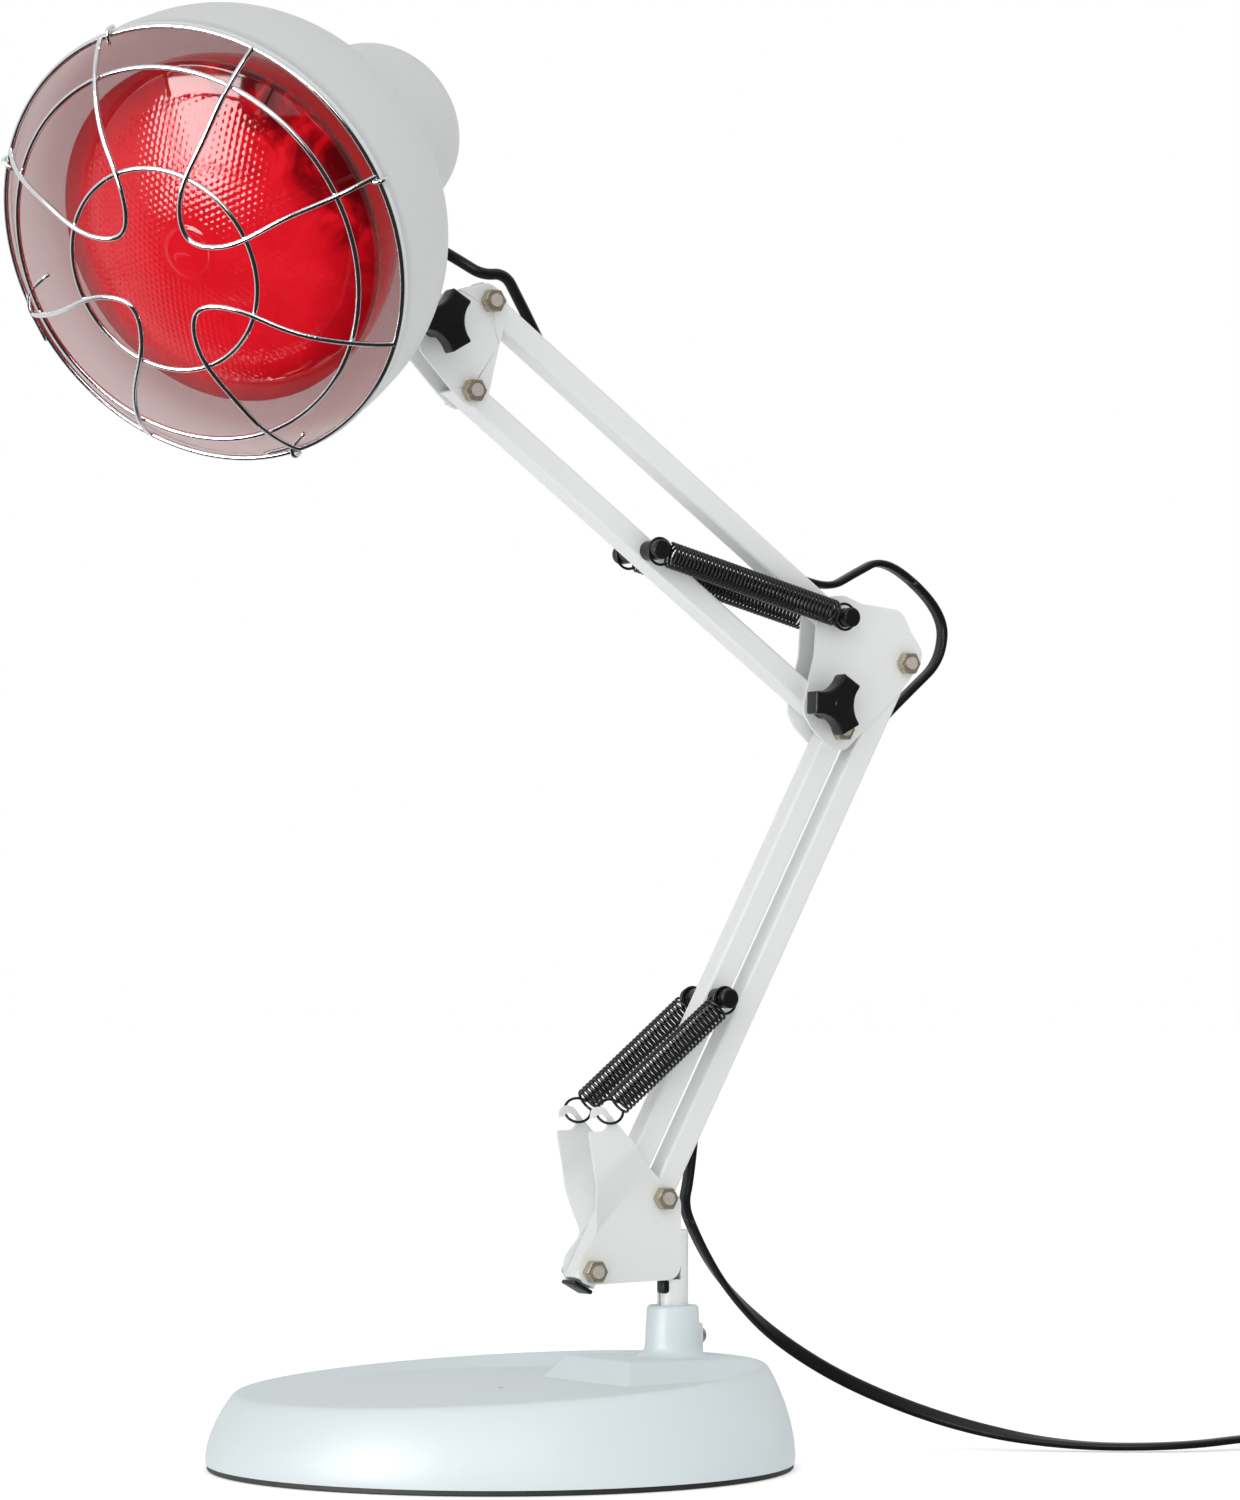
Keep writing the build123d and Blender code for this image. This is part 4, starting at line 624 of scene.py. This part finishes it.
def painted_lens_shading():
    """Painted light in the red: a painted glow of the silvered bowl in the middle, and painted shade at
    the lens edge and on one side, swirled.
    """
    group = bpy.data.node_groups.new("painted_lens_shading", "ShaderNodeTree")
    group.interface.new_socket(name="Swirl Scale", in_out="INPUT", socket_type="NodeSocketFloat")
    group.interface.new_socket(name="Colour", in_out="OUTPUT", socket_type="NodeSocketColor")
    make, link = group.nodes.new, group.links.new
    given, result = make("NodeGroupInput"), make("NodeGroupOutput")
    place = make("ShaderNodeAttribute")
    place.attribute_name = "lens_place"
    far = make("ShaderNodeVectorMath")
    far.operation = "LENGTH"
    edge = make("ShaderNodeMapRange")
    edge.interpolation_type = "SMOOTHSTEP"
    edge.inputs["From Min"].default_value, edge.inputs["From Max"].default_value = 0.040, 0.0635
    edge.inputs["To Max"].default_value = 0.42
    side = make("ShaderNodeVectorMath")
    side.operation = "DOT_PRODUCT"
    side.inputs[1].default_value = (0.34, 0.94, 0)
    shadow = make("ShaderNodeMapRange")
    shadow.interpolation_type = "SMOOTHSTEP"
    shadow.inputs["From Min"].default_value, shadow.inputs["From Max"].default_value = 0.030, 0.060
    swirls = make("ShaderNodeTexNoise")
    swirls.inputs["Detail"].default_value = 3.0
    swirls.inputs["Distortion"].default_value = 2.2
    swing = make("ShaderNodeMapRange")
    swing.inputs["From Min"].default_value, swing.inputs["From Max"].default_value = 0.36, 0.62
    swing.inputs["To Min"].default_value, swing.inputs["To Max"].default_value = -0.30, 0.62
    dark = make("ShaderNodeMath")
    dark.operation = "MULTIPLY_ADD"
    mottle = make("ShaderNodeTexNoise")
    mottle.inputs["Scale"].default_value = 60.0
    mottle.inputs["Distortion"].default_value = 1.0
    sum_up = make("ShaderNodeMath")
    sum_up.operation = "MULTIPLY_ADD"
    sum_up.inputs[1].default_value = 0.24
    reds = make("ShaderNodeValToRGB")
    stops = reds.color_ramp.elements
    stops[0].position, stops[0].color = 0.04, (0.82, 0.010, 0.022, 1)
    stops[1].position, stops[1].color = 1.0, (0.11, 0.0002, 0.002, 1)
    for position, colour in ((0.30, (0.60, 0.003, 0.011, 1)), (0.62, (0.26, 0.0008, 0.004, 1))):
        stops.new(position).color = colour
    link(place.outputs["Vector"], far.inputs[0])
    link(place.outputs["Vector"], side.inputs[0])
    link(place.outputs["Vector"], swirls.inputs["Vector"])
    link(place.outputs["Vector"], mottle.inputs["Vector"])
    link(given.outputs["Swirl Scale"], swirls.inputs["Scale"])
    link(far.outputs["Value"], edge.inputs["Value"])
    link(side.outputs["Value"], shadow.inputs["Value"])
    link(swirls.outputs["Fac"], swing.inputs["Value"])
    link(shadow.outputs["Result"], dark.inputs[0])
    link(swing.outputs["Result"], dark.inputs[1])
    link(edge.outputs["Result"], dark.inputs[2])
    link(mottle.outputs["Fac"], sum_up.inputs[0])
    link(dark.outputs[0], sum_up.inputs[2])
    link(sum_up.outputs[0], reds.inputs["Fac"])
    link(reds.outputs["Color"], result.inputs["Colour"])
    return group


lens_glass = lamp_finish(
    "lens_glass", (0.78, 0.002, 0.008), (0.52, 0.001, 0.004), 26, 300, 0.06, 0.04, 0.0,
    IOR=1.5,
)
# The lens's red comes from this group: painted glow in the middle, painted shade at the edge and on one
# side.
lens_shading_node = lens_glass.node_tree.nodes.new("ShaderNodeGroup")
lens_shading_node.node_tree = painted_lens_shading()
lens_shading_node.inputs["Swirl Scale"].default_value = 42.0
lens_glass.node_tree.links.new(
    lens_shading_node.outputs["Colour"], lens_glass.node_tree.nodes["Principled BSDF"].inputs["Base Color"]
)
lens_edge = 61.5
lens_height = 20.0
lens_front = -9.0
lens_radius = (lens_edge**2 + lens_height**2) / (2 * lens_height)
lens_steps = 104
stipple_pitch = 2.5
stipple_height = 0.042
stipples_from, stipples_to = 11, 54
lens_outline = []
for step in range(lens_steps + 1):
    radius = lens_edge * step / lens_steps
    lens_outline.append((radius, lens_front + lens_radius - sqrt(lens_radius**2 - radius**2)))
lens_outline += [(62.2, 11.4), (62.5, 12.4), (62.5, 15.0), (58.5, 15.0)]
bm = bmesh.new()
spun(bm, lens_outline, 640)
bmesh.ops.remove_doubles(bm, verts=bm.verts, dist=0.000002)
wave = 2 * pi / (stipple_pitch * cos(radians(30)))
for vertex in bm.verts:
    x, y = vertex.co.x / MM, vertex.co.y / MM
    radius = hypot(x, y)
    if vertex.co.z < 11.2 * MM:
        waves = [cos(wave * (x * cos(radians(a)) + y * sin(radians(a)))) for a in (0, 60, 120)]
        field = min(1, max(0, (radius - stipples_from) / 2)) * min(1, max(0, (stipples_to - radius) / 4))
        bulls_eye = 0.35 * exp(-(((radius - 8.5) / 0.9) ** 2)) + 0.25 * exp(-((radius / 3.0) ** 2))
        vertex.co.z -= (stipple_height * sum(waves) * field + bulls_eye) * MM
bmesh.ops.transform(bm, matrix=shade_place, verts=bm.verts)
bulb_lens = piece_from(bm, "bulb_lens_glass", lens_glass)
lens_place = bulb_lens.data.attributes.new("lens_place", "FLOAT_VECTOR", "POINT")
for vertex, spot in zip(bulb_lens.data.vertices, lens_place.data):
    spot.vector = to_shade @ vertex.co
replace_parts(bulb_lens, "bulb_lens")
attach(bulb_lens, "shade")

bowl_outline = [(62.5, 15.0), (62.5, 19.0), (61.6, 25.0), (59.4, 33.0), (56.2, 41.0), (52.0, 47.0)]
bowl_outline += [(46.0, 54.0), (38.0, 61.0), (31.0, 65.6), (27.0, 68.0), (23.0, 71.5), (20.4, 76.0)]
bowl_outline += [(19.2, 80.0), (19.0, 84.0), (19.0, 91.0)]
bulb_bowl = turned_piece("bulb_bowl", bowl_outline, 120, glass, closed=False)
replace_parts(bulb_bowl, "bulb_reflector")
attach(bulb_bowl, "shade")

# ---------------------------------------------------------------- wire guard
# Three rings of bright steel wire and four bent loops, spot-welded where they cross, with
# spring hooks that snap over the shade's rim.
chrome = lamp_finish(
    "bright_chrome", (0.86, 0.87, 0.88), (0.74, 0.75, 0.77), 500, 3000, 0.10, 0.08, 0.00001, Metallic=1.0
)
guard_wire = 0.95 * MM
hook_wire = 0.75 * MM
bm = bmesh.new()
for radius, depth in ((79.0, -0.95), (67.7, -11.6), (36.5, -26.4)):
    made = bmesh.ops.create_circle(
        bm, cap_ends=False, segments=10, radius=guard_wire,
        matrix=Matrix.Translation((radius * MM, 0, depth * MM)) @ Matrix.Rotation(pi / 2, 4, "X"),
    )
    ring = set(made["verts"])
    edges = [edge for edge in bm.edges if all(v in ring for v in edge.verts)]
    bmesh.ops.spin(
        bm, geom=made["verts"] + edges, cent=(0, 0, 0), axis=(0, 0, 1), angle=2 * pi, steps=128,
        use_merge=True,
    )
bmesh.ops.transform(bm, matrix=shade_place, verts=bm.verts)
rings = piece_from(bm, "guard_wire_rings", chrome)
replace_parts(rings, "guard_rings")
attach(rings, "shade")
dress("guard_loops", chrome, 0.0001)


def eased(points, steps=8):
    """Points along the NURBS line that these control points pull."""
    curve = bpy.data.curves.new("line", "CURVE")
    curve.dimensions = "3D"
    curve.resolution_u = steps
    spline = curve.splines.new("NURBS")
    spline.points.add(len(points) - 1)
    for knot, point in zip(spline.points, points):
        knot.co = (*point, 1)
    spline.order_u = 3
    spline.use_endpoint_u = True
    holder = bpy.data.objects.new("line", curve)
    scene.collection.objects.link(holder)
    bpy.context.view_layer.update()
    mesh = bpy.data.meshes.new_from_object(holder)
    line = [vertex.co.copy() for vertex in mesh.vertices]
    bpy.data.objects.remove(holder)
    bpy.data.curves.remove(curve)
    bpy.data.meshes.remove(mesh)
    return line


def bent_wire(bm, stops, wire):
    """Adds a bent wire through stops of (radius, angle in degrees, depth) about the axis."""
    turned = [Vector((r * cos(radians(a)), r * sin(radians(a)), depth)) for r, a, depth in stops]
    line = eased([stop * MM for stop in turned], 5)
    before = None
    for index, point in enumerate(line):
        ahead = line[min(index + 1, len(line) - 1)] - line[max(index - 1, 0)]
        made = bmesh.ops.create_circle(
            bm, cap_ends=index in (0, len(line) - 1), segments=8, radius=wire,
            matrix=Matrix.Translation(point) @ ahead.to_track_quat("Z", "Y").to_matrix().to_4x4(),
        )
        ring = set(made["verts"])
        edges = [edge for edge in bm.edges if edge.verts[0] in ring and edge.verts[1] in ring]
        if before:
            bmesh.ops.bridge_loops(bm, edges=before + edges)
        before = edges


bm = bmesh.new()
for angle in (3.6, -48.6, 91.4, -178.2):
    over_rim = [(76.0, angle - 1.0, -2.6), (79.4, angle, -3.1), (81.5, angle, -1.6), (81.0, angle, 1.8)]
    bent_wire(bm, over_rim, hook_wire)
free_ends = [
    [(79.6, -98.0, -2.0), (79.0, -91.0, -2.2), (78.6, -88.0, -3.0), (74.3, -83.5, -3.6),
     (64.5, -80.5, -3.6)],
    [(77.4, -170.0, -2.2), (77.2, -176.0, -2.6), (76.8, 179.0, -3.2), (74.2, 174.6, -4.0)],
]
for stops in free_ends:
    bent_wire(bm, stops, hook_wire)
bmesh.ops.transform(bm, matrix=shade_place, verts=bm.verts)
hooks = piece_from(bm, "guard_hooks", chrome)
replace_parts(hooks, "guard_clips")
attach(hooks, "shade")

# ---------------------------------------------------------------- mains cord
# Flat two-core vinyl cord. It leaves the lower bar beside the bracket, falls to the table,
# runs through the hand switch, and the spare length is wound in a ring before the plug.
cord_width = 5.6 * MM
cord_thickness = 3.1 * MM
cord_waist = 0.16


def cord_section():
    """The two-core outline: across and thick, pinched a little in the middle."""
    outline = []
    for step in range(20):
        turn = 2 * pi * step / 20
        across = cord_width / 2 * abs(cos(turn)) ** 0.8 * (1 if cos(turn) > 0 else -1)
        pinch = 1 - cord_waist * exp(-((across / (0.9 * MM)) ** 2))
        thick = cord_thickness / 2 * abs(sin(turn)) ** 0.75 * pinch * (1 if sin(turn) > 0 else -1)
        outline.append((across, thick))
    return outline


def flat_cord(name, line, sides):
    """A length of the flat cord along a line, its width turned to the given sides."""
    mesh = bpy.data.meshes.new(name)
    bm = bmesh.new()
    rings = []
    for index, point in enumerate(line):
        ahead = (line[min(index + 1, len(line) - 1)] - line[max(index - 1, 0)]).normalized()
        side = (sides[index] - ahead * sides[index].dot(ahead)).normalized()
        up = ahead.cross(side)
        rings.append([bm.verts.new(point + side * a + up * t) for a, t in cord_section()])
    for near, far in zip(rings, rings[1:]):
        for corner in range(len(near)):
            after = (corner + 1) % len(near)
            bm.faces.new((near[corner], near[after], far[after], far[corner]))
    bm.faces.new(list(reversed(rings[0])))
    bm.faces.new(rings[-1])
    bmesh.ops.recalc_face_normals(bm, faces=bm.faces)
    bm.to_mesh(mesh)
    bm.free()
    mesh.polygons.foreach_set("use_smooth", [True] * len(mesh.polygons))
    mesh.materials.append(vinyl)
    cord = bpy.data.objects.new(name, mesh)
    scene.collection.objects.link(cord)
    return cord


across_arm = (0, 1, 0)
lie = 1.8
route = [
    ((82.42, 0, 88.5), across_arm),
    ((88.0, 0, 76.8), across_arm),
    ((101.5, -1.0, 58.8), (0.30, 0.80, 0.45)),
    ((122.0, -4.0, 40.8), (0.62, 0.10, 0.75)),
    ((150.0, -12.5, 23.6), (0.55, 0.10, 0.83)),
    ((184.0, -32.0, 8.8), (0.40, 0.35, 0.80)),
    ((213.0, -60.5, lie), (0.60, 0.75, 0.10)),
    ((247.0, -86.0, lie), (0.35, 0.93, 0)),
    ((282.7, -92.0, 4.6), across_arm),
    ((329.0, -92.0, 4.7), across_arm),
    ((375.3, -92.0, 4.6), across_arm),
    ((380.3, -92.0, 4.6), across_arm),
    ((387.3, -91.6, lie), across_arm),
]
coil_middle = Vector((396.0, -127.0, 0))
# Turns gone, radius and height of each stretch of the wound-up length.
winding = [
    (0.0, 35.5, lie), (0.5, 31.2, lie), (1.4, 31.2, lie), (1.6, 25.3, lie), (2.4, 25.4, lie),
    (2.6, 25.3, 5.1), (3.4, 25.4, 5.1), (3.6, 31.2, 5.1), (4.4, 31.2, 5.1), (4.6, 25.5, 8.4),
    (5.4, 25.5, 8.4), (5.6, 31.3, 8.4), (6.4, 31.3, 8.4), (6.7, 28.5, 11.7), (7.1, 33.5, 9.5),
    (7.5, 37.4, lie),
]
all_turns = winding[-1][0]
points_per_turn = 16
for step in range(round(all_turns * points_per_turn) + 1):
    gone = step / points_per_turn
    for (start, r0, z0), (end, r1, z1) in zip(winding, winding[1:]):
        if start <= gone <= end:
            share = (gone - start) / (end - start)
            radius, height = r0 + (r1 - r0) * share, z0 + (z1 - z0) * share
    turn = pi / 2 - 2 * pi * gone
    outward = Vector((cos(turn), sin(turn), 0))
    place = coil_middle + outward * radius + Vector((0, 0, height))
    route.append((tuple(place), tuple(-outward)))
route += [
    ((384.0, -163.6, lie), (0, 1, 0)),
    ((372.0, -160.5, 4.6), (0, 1, 0)),
    ((366.0, -158.2, 6.85), (0, 1, 0)),
    ((352.0, -158.0, 6.85), (0, 1, 0)),
]
cord_line = eased([Vector(place) * MM for place, side in route])
cord_sides = eased([Vector(side) for place, side in route])
free_cord = flat_cord("free_cord", cord_line, cord_sides)
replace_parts(free_cord, "cord_on_table", "cord_to_coil", "cord_to_plug", "cord_coil")
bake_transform(free_cord)


def held_cord(stops):
    """The line and the sides of a length of cord that runs between two slots."""
    line = eased([Vector(place) * MM for place in stops])
    return line, [Vector(across_arm)] * len(line)


def cut(line, sides, name, first, last):
    """The part of a cord between two shares of its points."""
    start, end = round(first * (len(line) - 1)), round(last * (len(line) - 1))
    piece = flat_cord(name, line[start : end + 1], sides[start : end + 1])
    return piece


line, sides = held_cord(
    [(92.2, 0, 142.6), (85.5, 0, 130.3), (82.3, 0, 103.2), (79.8, 0, 94.0), (82.42, 0, 88.5)]
)
cord_exit = cut(line, sides, "cord_leaving_bar", 0, 1)
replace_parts(cord_exit, "cord_exit")
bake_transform(cord_exit)

elbow_route = [
    (157.0, 0, 260.9), (163.3, 0, 272.3), (185.5, 0, 291.5), (200.0, 0, 303.5), (201.5, 0, 322.5),
    (173.5, 0, 343.0), (158.5, 0, 335.6), (146.0, 0, 329.0), (121.7, 0, 336.2), (112.0, 0, 343.2),
]
line, sides = held_cord(elbow_route)
cord_elbow_lower = cut(line, sides, "cord_loop_lower", 0, 0.5)
cord_elbow_upper = cut(line, sides, "cord_loop_upper", 0.5, 1)
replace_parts(cord_elbow_lower, "cord_elbow_lower")
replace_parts(cord_elbow_upper, "cord_elbow_upper")
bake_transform(cord_elbow_lower)
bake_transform(cord_elbow_upper)
